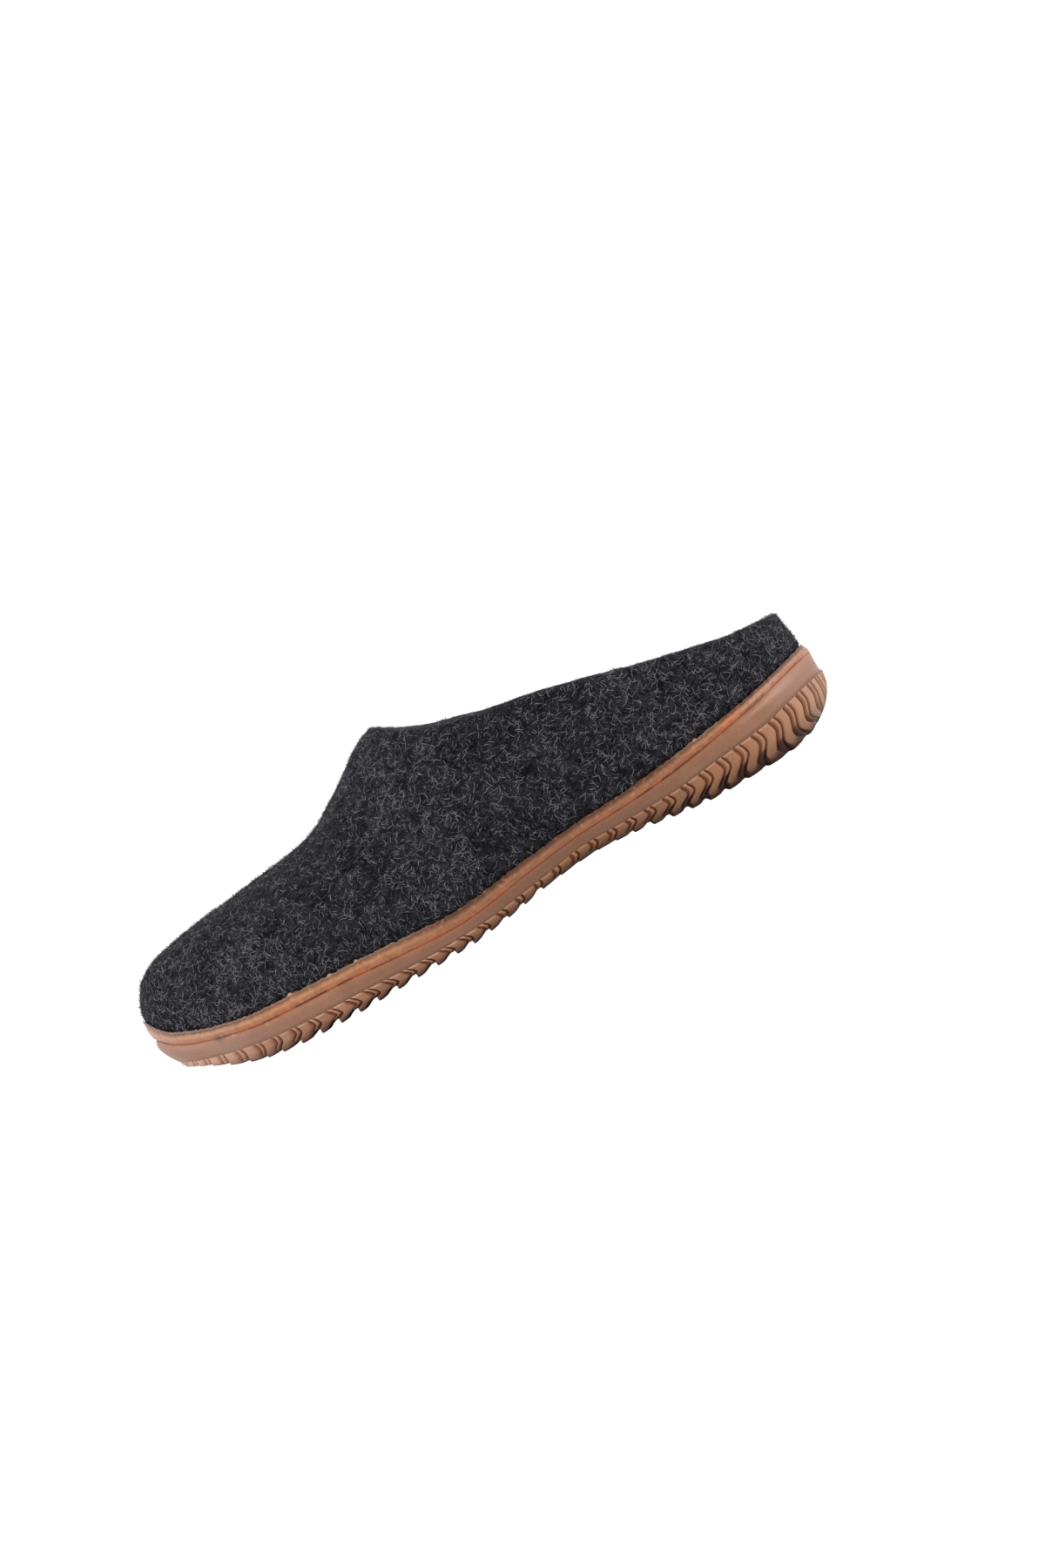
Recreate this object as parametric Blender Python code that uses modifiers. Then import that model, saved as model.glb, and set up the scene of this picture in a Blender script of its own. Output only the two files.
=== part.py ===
"""Felted wool slipper for a left foot, with a moulded rubber sole.

The toe points along -X, the outer side of the foot faces -Y and the tread stands on Z = 0.
Sizes are in millimetres and become metres where a vertex is made.
"""

import bisect
import math

import bmesh
import bpy

MM = 0.001

# Driving dimensions of the last and the sole
LENGTH = 285.0
GAP = 0.3
FELT_THICKNESS = 4.5
INSOLE_THICKNESS = 3.5
THROAT_STATION = 129.0
TOE_ROUND_LENGTH = 76.0
TOE_ROUND_POWER = 2.3
HEEL_ROUND_LENGTH = 44.0
HEEL_ROUND_POWER = 2.25

# Felt wall where it is tucked behind the rand and where it swells out above it
TUCK_INSET = 3.5
SWELL_INSET = 0.4
SWELL_HEIGHT = 8.0
HEEL_LEAN_SLOPE = 0.13
HEEL_LEAN_START = 3.0
HEEL_LEAN_REACH = 40.0

# Rand, from its foot on the sole to its thin upper lip
RAND_FOOT_THICKNESS = 2.7
RAND_LIP_THICKNESS = 1.0
RAND_LIP_ROUND = 0.5

# Side wall and lugs of the sole
SEAT_INSET = 0.6
WALL_FLARE = 0.8
WALL_BELLY_INSET = -0.3
LUG_PITCH = 8.3
LUG_LENGTH = 4.9
LUG_FLANK = 0.5
LUG_PROUD = 0.7
LUG_SHOULDER_DROP = 0.9
LUG_BELLY_SHARE = 0.55
LUG_BELLY_TUCK = 0.3
GROOVE_SIDE_DEPTH = 1.9
GROOVE_DEPTH_SHARE = 0.6
GROOVE_DEPTH_LIMIT = 3.4
RIB_SHARE = 0.75
TREAD_EDGE_INSET = 3.2
TIP_LENGTH = 30.0
TOE_WALL_TUCK = 4.8
TOE_TREAD_TUCK = 7.8
HEEL_TREAD_TUCK = 7.0
WAVE_TIP_LENGTH = 25.0

# Plan of the last: full half breadth and middle line, before the toe and heel are rounded off,
# and the line that the crest of the upper follows
PLAN_COLUMNS = ("station", "half_breadth", "middle", "crest")
PLAN = (
    (0.0, 49.0, 8.0, 8.0),
    (40.0, 50.5, 6.0, 9.5),
    (95.0, 53.0, 0.5, 8.0),
    (130.0, 50.0, -2.5, 4.5),
    (178.0, 41.0, -4.0, 0.0),
    (215.0, 39.5, -2.0, -1.0),
    (250.0, 40.0, 0.0, 0.0),
    (285.0, 39.5, 0.5, 0.5),
)

# Side view of the sole: lowest tread, top of the lugs, seam under the rand and lip of the rand
SOLE_COLUMNS = ("station", "tread", "lug_top", "seam", "rand_top")
SOLE = (
    (0.0, 25.5, 21.2, 31.4, 39.0),
    (5.0, 18.0, 18.3, 26.3, 32.2),
    (12.0, 12.5, 15.3, 22.4, 27.6),
    (25.0, 6.1, 11.5, 18.2, 23.0),
    (39.0, 2.3, 8.8, 15.2, 20.0),
    (55.0, 0.6, 7.2, 13.9, 18.9),
    (75.0, 0.0, 6.3, 12.5, 17.5),
    (95.0, 0.0, 4.9, 10.4, 16.1),
    (110.0, 0.0, 4.4, 9.1, 14.6),
    (121.0, 0.0, 4.5, 8.7, 14.0),
    (131.0, 0.9, 5.0, 9.4, 14.5),
    (142.0, 2.5, 6.3, 11.0, 15.9),
    (157.0, 5.0, 8.1, 12.9, 17.5),
    (178.0, 6.8, 10.6, 14.8, 19.1),
    (197.0, 4.7, 10.2, 15.2, 19.8),
    (212.0, 2.4, 10.1, 16.1, 21.0),
    (232.0, 0.0, 11.7, 18.4, 22.9),
    (256.0, 0.0, 13.8, 22.5, 26.4),
    (270.0, 2.4, 17.0, 25.5, 29.3),
    (280.0, 8.6, 19.2, 27.8, 31.6),
    (285.0, 16.6, 20.0, 28.9, 32.8),
)

# Crest of the upper, real up to the throat and carried on above the opening behind it,
# with the power that makes each section squarer or rounder
CREST_COLUMNS = ("station", "crest_height", "power")
CREST = (
    (0.0, 40.0, 2.25),
    (3.0, 46.3, 2.3),
    (7.0, 51.9, 2.35),
    (15.0, 56.4, 2.4),
    (30.0, 59.7, 2.4),
    (55.0, 62.2, 2.35),
    (80.0, 65.2, 2.25),
    (92.0, 68.4, 2.2),
    (105.0, 75.5, 2.1),
    (120.0, 85.6, 2.0),
    (129.0, 90.0, 2.0),
    (145.0, 98.5, 2.0),
    (170.0, 111.0, 2.05),
    (205.0, 123.0, 2.1),
    (285.0, 130.0, 2.2),
)

# Cut edge of the collar behind the throat
COLLAR_COLUMNS = ("station", "collar_height")
COLLAR = (
    (129.0, 90.0),
    (134.0, 87.6),
    (141.0, 83.8),
    (150.0, 79.7),
    (165.0, 75.0),
    (185.0, 70.5),
    (205.0, 65.3),
    (225.0, 59.4),
    (245.0, 54.4),
    (262.0, 50.3),
    (276.0, 48.9),
    (285.0, 48.0),
)

# How far the edge of each lug runs back towards the heel, down the side and in across the tread
WALL_WAVE = {"seat": 0.0, "wall": 0.0, "lug_top": 0.0, "shoulder": 0.6, "belly": 2.4, "edge": -1.2}
TREAD_COLUMNS = ("share", "wave")
TREAD = ((0.2, 1.8), (0.4, -1.2), (0.6, -1.2), (0.8, 1.8))

OUTER_SIDE = -1
INNER_SIDE = 1
STATIONS_TO_THROAT = 20
STATIONS_TO_HEEL = 18
TUCK_COLUMNS = 3
ARCH_COLUMNS = 7
ARC_SAMPLES = 1200


def smooth_step(share):
    """Ease from 0 to 1 with level ends."""
    share = min(1.0, max(0.0, share))
    return share * share * (3.0 - 2.0 * share)


def blend(start, end, share):
    return start + (end - start) * share


def column_curve(table, columns, name):
    """Curve through one column of a table by station, with no bulge past its rows."""
    index = columns.index(name)
    stations = [row[0] for row in table]
    values = [row[index] for row in table]
    spans = [b - a for a, b in zip(stations, stations[1:])]
    slopes = [(b - a) / span for a, b, span in zip(values, values[1:], spans)]
    tangents = [slopes[0]]
    for before, after in zip(slopes, slopes[1:]):
        level = before * after <= 0.0
        tangents.append(0.0 if level else 2.0 * before * after / (before + after))
    tangents.append(slopes[-1])

    def value_at(station):
        station = min(stations[-1], max(stations[0], station))
        row = min(bisect.bisect_right(stations, station), len(spans)) - 1
        span = spans[row]
        t = (station - stations[row]) / span
        from_start = (1.0 + 2.0 * t) * (1.0 - t) ** 2 * values[row]
        to_end = t * t * (3.0 - 2.0 * t) * values[row + 1]
        leaving = t * (1.0 - t) ** 2 * span * tangents[row]
        arriving = t * t * (t - 1.0) * span * tangents[row + 1]
        return from_start + to_end + leaving + arriving

    return value_at


half_breadth = column_curve(PLAN, PLAN_COLUMNS, "half_breadth")
middle_line = column_curve(PLAN, PLAN_COLUMNS, "middle")
crest_line = column_curve(PLAN, PLAN_COLUMNS, "crest")
tread_height = column_curve(SOLE, SOLE_COLUMNS, "tread")
lug_top_height = column_curve(SOLE, SOLE_COLUMNS, "lug_top")
seam_height = column_curve(SOLE, SOLE_COLUMNS, "seam")
rand_top_height = column_curve(SOLE, SOLE_COLUMNS, "rand_top")
crest_height = column_curve(CREST, CREST_COLUMNS, "crest_height")
section_power = column_curve(CREST, CREST_COLUMNS, "power")
collar_height = column_curve(COLLAR, COLLAR_COLUMNS, "collar_height")


def rounding(distance, length, power):
    """Share of the full breadth that is left at a distance from a rounded tip."""
    if distance >= length:
        return 1.0
    return (1.0 - (1.0 - distance / length) ** power) ** (1.0 / power)


def plan_point(side, share, inset):
    """Station and Y of the outline, share of the length from the toe, drawn in by an inset."""
    along = share * LENGTH
    round_off = rounding(along, TOE_ROUND_LENGTH, TOE_ROUND_POWER)
    round_off *= rounding(LENGTH - along, HEEL_ROUND_LENGTH, HEEL_ROUND_POWER)
    station = inset + share * (LENGTH - 2.0 * inset)
    return station, middle_line(along) + side * (half_breadth(along) - inset) * round_off


def plan_centre():
    """Y half way between the outermost points of the two sides of the sole."""
    shares = [i / ARC_SAMPLES for i in range(ARC_SAMPLES + 1)]
    proud = -WALL_FLARE - LUG_PROUD
    lowest = min(plan_point(OUTER_SIDE, share, proud)[1] for share in shares)
    highest = max(plan_point(INNER_SIDE, share, proud)[1] for share in shares)
    return (lowest + highest) / 2.0


PLAN_CENTRE = plan_centre()


def place(station, y, z):
    """Position of a point in metres, with the middle of the slipper at X = Y = 0."""
    return ((station - LENGTH / 2.0) * MM, (y - PLAN_CENTRE) * MM, z * MM)


def arc_shares(side):
    """Function from a share of the outline's arc to a share of the length, on one side."""
    shares = [(1.0 - math.cos(math.pi * i / ARC_SAMPLES)) / 2.0 for i in range(ARC_SAMPLES + 1)]
    points = [plan_point(side, share, 0.0) for share in shares]
    lengths = [0.0]
    for start, end in zip(points, points[1:]):
        lengths.append(lengths[-1] + math.dist(start, end))
    total = lengths[-1]

    def share_at(arc_share):
        target = min(1.0, max(0.0, arc_share)) * total
        row = min(max(bisect.bisect_right(lengths, target), 1), ARC_SAMPLES)
        t = (target - lengths[row - 1]) / (lengths[row] - lengths[row - 1])
        return blend(shares[row - 1], shares[row], t)

    return share_at, total


def mesh_object(name, bm, collection, material):
    """Object from a bmesh, shaded smooth with its hard edges kept."""
    mesh = bpy.data.meshes.new(name)
    bm.to_mesh(mesh)
    bm.free()
    mesh.materials.append(material)
    mesh.shade_smooth()
    mesh.set_sharp_from_angle(angle=math.radians(40.0))
    piece = bpy.data.objects.new(name, mesh)
    collection.objects.link(piece)
    return piece


def loft(sections, end_faces):
    """Closed bmesh through section loops, whose end loops are split into the faces given.

    With no end faces the last section joins the first in a ring.
    """
    bm = bmesh.new()
    loops = [[bm.verts.new(point) for point in section] for section in sections]
    following = loops[1:] if end_faces else loops[1:] + loops[:1]
    for loop, next_loop in zip(loops, following):
        for i in range(len(loop)):
            k = (i + 1) % len(loop)
            bm.faces.new((loop[i], loop[k], next_loop[k], next_loop[i]))
    for face in end_faces:
        bm.faces.new([loops[0][i] for i in face])
        bm.faces.new([loops[-1][i] for i in face])
    bmesh.ops.recalc_face_normals(bm, faces=bm.faces)
    return bm


def principled(name, colour, roughness):
    material = bpy.data.materials.new(name)
    material.use_nodes = True
    shader = material.node_tree.nodes["Principled BSDF"]
    shader.inputs["Base Color"].default_value = (*colour, 1.0)
    shader.inputs["Roughness"].default_value = roughness
    shader.inputs["Metallic"].default_value = 0.0
    return material


# Sole


def lug_stations(arc_length):
    """Arc shares with the kind of tread at each of them, from a lug at the toe to one at the heel."""
    count = round(arc_length / LUG_PITCH)
    pitch = arc_length / count
    half = LUG_LENGTH / 2.0
    stations = []
    for lug in range(count):
        centre = lug * pitch
        next_centre = centre + pitch
        stations.append((centre + half, "lug"))
        stations.append((centre + half + LUG_FLANK, "groove"))
        stations.append((centre + pitch / 2.0, "rib"))
        stations.append((next_centre - half - LUG_FLANK, "groove"))
        stations.append((next_centre - half, "lug"))
    return [(arc / arc_length, kind) for arc, kind in stations]


def tip_share(distance):
    """1 at the very tip of the toe or heel, fading to 0 along the sides."""
    return max(0.0, 1.0 - distance / TIP_LENGTH) ** 2


def wall_insets(along):
    """Insets of the side of a lug, from the top of the wall to the edge of the tread."""
    toe = tip_share(along)
    heel = tip_share(LENGTH - along)
    lug_top = TOE_WALL_TUCK * toe - WALL_FLARE
    edge = TREAD_EDGE_INSET + TOE_TREAD_TUCK * toe + HEEL_TREAD_TUCK * heel
    return {
        "seat": SEAT_INSET,
        "wall": WALL_BELLY_INSET,
        "lug_top": lug_top,
        "shoulder": lug_top - LUG_PROUD,
        "belly": blend(lug_top - LUG_PROUD, edge, LUG_BELLY_TUCK),
        "edge": edge,
    }


def groove_depth(station):
    lug_height = lug_top_height(station) - tread_height(station)
    return min(GROOVE_DEPTH_LIMIT, GROOVE_DEPTH_SHARE * max(0.0, lug_height))


def wall_points(side, share_at, arc_length, arc_share, kind):
    """Points down one side of the sole at one station, as (station, y, z)."""
    from_tip = min(arc_share, 1.0 - arc_share) * arc_length
    wave_strength = smooth_step(from_tip / WAVE_TIP_LENGTH)
    cut = {"lug": 0.0, "groove": 1.0, "rib": 1.0 - RIB_SHARE}[kind]
    points = []
    for row, wave in WALL_WAVE.items():
        share = share_at(arc_share + wave * wave_strength / arc_length)
        along = share * LENGTH
        insets = wall_insets(along)
        cut_rows = {"shoulder": 0.7, "belly": 1.0, "edge": 1.0}
        inset = insets[row] + GROOVE_SIDE_DEPTH * cut * cut_rows.get(row, 0.0)
        station, y = plan_point(side, share, inset)
        edge_station = plan_point(side, share, insets["edge"])[0]
        lug_top = lug_top_height(station)
        tread = tread_height(edge_station)
        heights = {
            "seat": seam_height(station),
            "wall": blend(seam_height(station), lug_top, 0.5),
            "lug_top": lug_top,
            "shoulder": lug_top - LUG_SHOULDER_DROP,
            "belly": blend(lug_top, tread, LUG_BELLY_SHARE),
            "edge": tread + cut * groove_depth(edge_station),
        }
        points.append((station, y, heights[row]))
    return points


def outsole_section(arc_share, kind, sides):
    """Loop round the sole at one station: outer side, tread, inner side and seat."""
    outer, inner = [wall_points(side, *sides[side], arc_share, kind) for side in (OUTER_SIDE, INNER_SIDE)]
    cut = 0.0 if kind == "lug" else 1.0
    arc_length = sides[OUTER_SIDE][1]
    wave_strength = smooth_step(min(arc_share, 1.0 - arc_share) * arc_length / WAVE_TIP_LENGTH)
    tread = []
    for share, wave in TREAD:
        station = blend(outer[-1][0], inner[-1][0], share) + wave * wave_strength
        y = blend(outer[-1][1], inner[-1][1], share)
        tread.append((station, y, tread_height(station) + cut * groove_depth(station)))
    seat_station = (outer[0][0] + inner[0][0]) / 2.0
    seat = [(seat_station, (outer[0][1] + inner[0][1]) / 2.0, seam_height(seat_station))]
    return [place(*point) for point in outer + tread + inner[::-1] + seat]


def tip_faces():
    """Faces that close a tip of the sole, each between the same rows of its two sides."""
    rows = len(WALL_WAVE)
    seat = 2 * rows + len(TREAD)
    outer = list(range(rows))
    inner = list(range(seat - 1, seat - 1 - rows, -1))
    faces = [(seat, outer[0], outer[1], inner[1], inner[0])]
    for row in range(1, rows - 2):
        faces.append((outer[row], outer[row + 1], inner[row + 1], inner[row]))
    tread = range(rows, rows + len(TREAD))
    faces.append((outer[-2], outer[-1], *tread, inner[-1], inner[-2]))
    return faces


def build_outsole(collection, material):
    sides = {side: arc_shares(side) for side in (OUTER_SIDE, INNER_SIDE)}
    stations = lug_stations(sides[OUTER_SIDE][1])
    sections = [outsole_section(arc_share, kind, sides) for arc_share, kind in stations]
    return mesh_object("outsole", loft(sections, tip_faces()), collection, material)


# Upper, rand and insole share one set of sections along the last


def last_shares():
    """Shares of the length, closer together at the toe, just behind the throat and at the heel."""
    stations = []
    for i in range(STATIONS_TO_THROAT):
        stations.append(THROAT_STATION * (1.0 - math.cos(math.pi / 2.0 * i / STATIONS_TO_THROAT)))
    for i in range(STATIONS_TO_HEEL + 1):
        rise = (1.0 - math.cos(math.pi * i / STATIONS_TO_HEEL)) / 2.0
        stations.append(blend(THROAT_STATION, LENGTH, rise))
    return [station / LENGTH for station in stations]


LAST_SHARES = last_shares()


def felt_inset(height, along):
    """How far the felt lies inside the outline at a height above its lower edge."""
    swell = SWELL_INSET + (TUCK_INSET - SWELL_INSET) * (1.0 - smooth_step(height / SWELL_HEIGHT))
    heel = smooth_step(1.0 - (LENGTH - along) / HEEL_LEAN_REACH)
    return swell + HEEL_LEAN_SLOPE * heel * max(0.0, height - HEEL_LEAN_START)


def felt_base(share):
    """Height of the lower edge of the felt, just above the seat of the sole."""
    return seam_height(plan_point(OUTER_SIDE, share, TUCK_INSET)[0]) + GAP


def tucked_height(share):
    """Height of felt that the rand covers."""
    return rand_top_height(share * LENGTH) - felt_base(share)


def felt_angles(share):
    """Angles of a section's columns: the tucked part first, then the arch up to its end."""
    along = share * LENGTH
    base = felt_base(share)
    full = crest_height(along) - base
    power = section_power(along)
    tucked = [tucked_height(share) * i / TUCK_COLUMNS for i in range(TUCK_COLUMNS + 1)]
    angles = [math.asin((height / full) ** (power / 2.0)) for height in tucked]
    top = math.pi / 2.0
    if along > THROAT_STATION:
        top = math.asin(((collar_height(along) - base) / full) ** (power / 2.0))
    arch = [blend(angles[-1], top, i / ARCH_COLUMNS) for i in range(1, ARCH_COLUMNS + 1)]
    return angles + arch


def felt_point(side, share, angle):
    """Point of the felt's outer face on the arch of one section."""
    along = share * LENGTH
    base = felt_base(share)
    power = section_power(along)
    height = (crest_height(along) - base) * math.sin(angle) ** (2.0 / power)
    station, y = plan_point(side, share, felt_inset(height, along))
    crest = crest_line(along)
    return station, crest + (y - crest) * max(0.0, math.cos(angle)) ** (2.0 / power), base + height


def build_upper(collection, material):
    bm = bmesh.new()
    for side in (OUTER_SIDE, INNER_SIDE):
        rows = []
        for share in LAST_SHARES:
            points = [felt_point(side, share, angle) for angle in felt_angles(share)]
            rows.append([bm.verts.new(place(*point)) for point in points])
        for row, next_row in zip(rows, rows[1:]):
            for i in range(len(row) - 1):
                face = (row[i], next_row[i], next_row[i + 1], row[i + 1])
                bm.faces.new(face if side == OUTER_SIDE else face[::-1])
    bmesh.ops.remove_doubles(bm, verts=bm.verts, dist=0.001 * MM)
    upper = mesh_object("upper", bm, collection, material)
    wall = upper.modifiers.new("felt wall", "SOLIDIFY")
    wall.thickness = FELT_THICKNESS * MM
    wall.offset = -1.0
    wall.use_even_offset = True
    wall.use_quality_normals = True
    return upper


def rand_section(side, share):
    """Loop round the rand at one section: up its outer face, over the lip and down the felt."""
    along = share * LENGTH
    base = felt_base(share)
    tucked = tucked_height(share)
    top = rand_top_height(along)
    inner = []
    outer = []
    for i in range(TUCK_COLUMNS + 1):
        rise = i / TUCK_COLUMNS
        inner_inset = felt_inset(tucked * rise, along) - GAP
        outer_inset = inner_inset - blend(RAND_FOOT_THICKNESS, RAND_LIP_THICKNESS, rise)
        inner_foot, outer_foot = [
            seam_height(plan_point(side, share, inset)[0]) + GAP for inset in (inner_inset, outer_inset)
        ]
        inner.append((inner_inset, max(inner_foot, base + tucked * rise)))
        outer.append((outer_inset, blend(outer_foot, top - RAND_LIP_ROUND, rise)))
    lip_inset = inner[-1][0] - RAND_LIP_THICKNESS / 2.0
    loop = outer + [(lip_inset, top)] + inner[::-1]
    return [place(*plan_point(side, share, inset), z) for inset, z in loop]


def build_rand(collection, material):
    sections = [rand_section(OUTER_SIDE, share) for share in LAST_SHARES]
    sections += [rand_section(INNER_SIDE, share) for share in LAST_SHARES[-2:0:-1]]
    return mesh_object("rand", loft(sections, end_faces=()), collection, material)


def build_insole(collection, material):
    inset = TUCK_INSET + FELT_THICKNESS + GAP
    sections = []
    for share in LAST_SHARES[1:-1]:
        outer, inner = [plan_point(side, share, inset) for side in (OUTER_SIDE, INNER_SIDE)]
        bottom = seam_height(outer[0]) + GAP
        top = bottom + INSOLE_THICKNESS
        loop = ((outer, bottom), (inner, bottom), (inner, top), (outer, top))
        sections.append([place(*point, z) for point, z in loop])
    return mesh_object("insole", loft(sections, end_faces=((0, 1, 2, 3),)), collection, material)


def build_slipper():
    for leftover in list(bpy.data.objects):
        bpy.data.objects.remove(leftover, do_unlink=True)
    collection = bpy.data.collections.new("wool_slipper")
    bpy.context.scene.collection.children.link(collection)
    build_outsole(collection, principled("moulded gum rubber", (0.30, 0.15, 0.09), 0.55))
    build_rand(collection, principled("orange gum rubber", (0.36, 0.17, 0.08), 0.5))
    build_upper(collection, principled("charcoal wool felt", (0.031, 0.03, 0.036), 0.95))
    build_insole(collection, principled("grey wool felt", (0.05, 0.048, 0.055), 0.95))


build_slipper()
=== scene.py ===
import math

import bmesh
import bpy
import numpy as np
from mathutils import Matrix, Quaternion, Vector


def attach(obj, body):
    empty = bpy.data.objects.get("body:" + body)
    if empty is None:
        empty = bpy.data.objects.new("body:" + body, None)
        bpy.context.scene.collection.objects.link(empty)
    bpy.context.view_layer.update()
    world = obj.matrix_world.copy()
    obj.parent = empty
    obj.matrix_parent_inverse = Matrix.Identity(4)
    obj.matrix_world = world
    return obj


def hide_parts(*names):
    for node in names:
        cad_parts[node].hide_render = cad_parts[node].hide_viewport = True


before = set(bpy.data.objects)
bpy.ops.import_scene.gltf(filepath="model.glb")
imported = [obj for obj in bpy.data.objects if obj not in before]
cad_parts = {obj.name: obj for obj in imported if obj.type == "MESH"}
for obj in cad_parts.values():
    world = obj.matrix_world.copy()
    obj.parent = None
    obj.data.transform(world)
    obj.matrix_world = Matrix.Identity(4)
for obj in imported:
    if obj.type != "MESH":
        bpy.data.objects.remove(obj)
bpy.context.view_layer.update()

# Outsole: one moulding of natural rubber with its wall, chevron lugs and thin ribs, cemented under
# the felt. Its outline is that of the last, so the last's sizes stand here. Sizes are in millimetres,
# and a station is counted from the toe.
MM = 0.001
LENGTH = 285.0
TOE_ROUND = (76.0, 2.3)
HEEL_ROUND = (44.0, 2.25)
OUTER_SIDE = -1
INNER_SIDE = 1
SIDES = (OUTER_SIDE, INNER_SIDE)
OUTLINE_SAMPLES = 2400

WALL_SEAT_INSET = 0.6
WALL_BELLY_INSET = -0.2
WALL_FLARE = 0.8
HEEL_SEAT_OUT = 1.6
TOE_SEAT_OUT = 0.2
LUG_PROUD = 0.9
LUG_SHOULDER = 0.5
LUG_HALF_LENGTH = 2.45
LUG_LEAST_HEIGHT = 2.0
LUG_RISE_SHARE = 0.3
LUG_LEAN_ROUND = 0.12
LUG_LEAN_END = 0.75
LUG_LOWER_ARM = 0.25
LUG_HOOK_START = 0.55
LUG_NARROW_POWER = 3.0
TREAD_EDGE_INSET = 1.6
TREAD_EDGE_ROUND = 0.5
TIP_LENGTH = 30.0
TOE_WALL_TUCK = 4.8
TOE_TREAD_TUCK = 9.4
HEEL_TREAD_TUCK = 8.6
GROOVE_SIDE_DEPTH = 1.7
GROOVE_TOP_RUN = 0.45
GROOVE_OPENS = (0.68, 0.96)
LUG_SQUARE = 3.5
LUG_SQUARE_AT_TIPS = 2.0
LEAN_TIP_LENGTH = 12.0
TREAD_POINTS = 21
HEEL_NUB = 0.9
HEEL_NUB_HALF = (6.0, 2.0, 0.6)
HEEL_NUB_HEIGHT = 20.4

# One pitch of the tread from a thin rib towards the heel, in millimetres: how much of the groove is cut
# on the side of the sole and under it. Two grooves part the rib from the lugs, and under the sole each
# lug is steep towards the toe and slopes up towards the heel.
LUG_PITCH = 8.3
LUG_PROFILE = (
    (0.0, 0.12, 0.95),
    (0.3, 0.22, 1.0),
    (0.52, 0.6, 1.0),
    (0.72, 0.95, 1.0),
    (0.9, 1.0, 1.0),
    (1.05, 0.95, 0.95),
    (1.2, 0.6, 0.75),
    (1.35, 0.2, 0.35),
    (1.5, 0.04, 0.08),
    (1.75, 0.0, 0.0),
    (2.6, 0.0, 0.0),
    (3.5, 0.0, 0.0),
    (4.4, 0.0, 0.05),
    (4.9, 0.05, 0.17),
    (5.3, 0.15, 0.27),
    (5.65, 0.3, 0.36),
    (5.95, 0.47, 0.42),
    (6.25, 0.67, 0.5),
    (6.55, 0.9, 0.58),
    (6.8, 1.0, 0.64),
    (7.05, 0.85, 0.7),
    (7.3, 0.3, 0.76),
    (7.65, 0.12, 0.84),
)

# Rows down the wall from its seat under the felt: share of the way from the seam to the lugs, and how far
# the row lies in and down, which rounds the top edge. Then the shares of the lugs' height for their rows.
WALL_ROWS = (
    (0.0, 5.5, -0.22),
    (0.0, 3.4, 0.0),
    (0.0, 0.35, 0.0),
    (0.0, 0.12, 0.05),
    (0.0, 0.0, 0.2),
    (0.12, 0.0, 0.05),
    *[(down, 0.0, 0.0) for down in (0.26, 0.4, 0.54, 0.68, 0.8, 0.89, 0.95, 0.985)],
)
LUG_ROWS = (0.0, 0.02, 0.045, 0.08, 0.13, 0.2, 0.28, 0.36, 0.44, 0.52, 0.6, 0.68, 0.76, 0.84, 0.92, 0.97, 1.0)


def smooth_step(share):
    """Ease from 0 to 1 with level ends."""
    share = np.clip(share, 0.0, 1.0)
    return share * share * (3.0 - 2.0 * share)


def ramp(value, start, end):
    """Ease from 0 at a start to 1 at an end, which may lie either way."""
    return smooth_step((value - start) / (end - start))


def hump(value, middle, half_width):
    """Bell of height 1 round a middle."""
    return np.exp(-(((value - middle) / half_width) ** 2))


def blend(start, end, share):
    return start + (end - start) * share


def station_curves(columns, rows):
    """Smooth curves by station, one for each named column, with no bulge past the table's rows."""
    stations, *tables = np.array(rows).T
    spans = np.diff(stations)

    def curve(values):
        slopes = np.diff(values) / spans
        before, after = slopes[:-1], slopes[1:]
        turns = before * after <= 0.0
        between = 2.0 * before * after / np.where(turns, 1.0, before + after)
        tangents = np.concatenate((slopes[:1], np.where(turns, 0.0, between), slopes[-1:]))

        def value_at(station):
            station = np.clip(station, stations[0], stations[-1])
            row = np.clip(np.searchsorted(stations, station, "right") - 1, 0, len(spans) - 1)
            t = (station - stations[row]) / spans[row]
            leaving = t * (1.0 - t) ** 2 * tangents[row]
            arriving = t * t * (t - 1.0) * tangents[row + 1]
            return blend(values[row], values[row + 1], smooth_step(t)) + (leaving + arriving) * spans[row]

        return value_at

    return {name: curve(values) for name, values in zip(columns, tables)}


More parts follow.
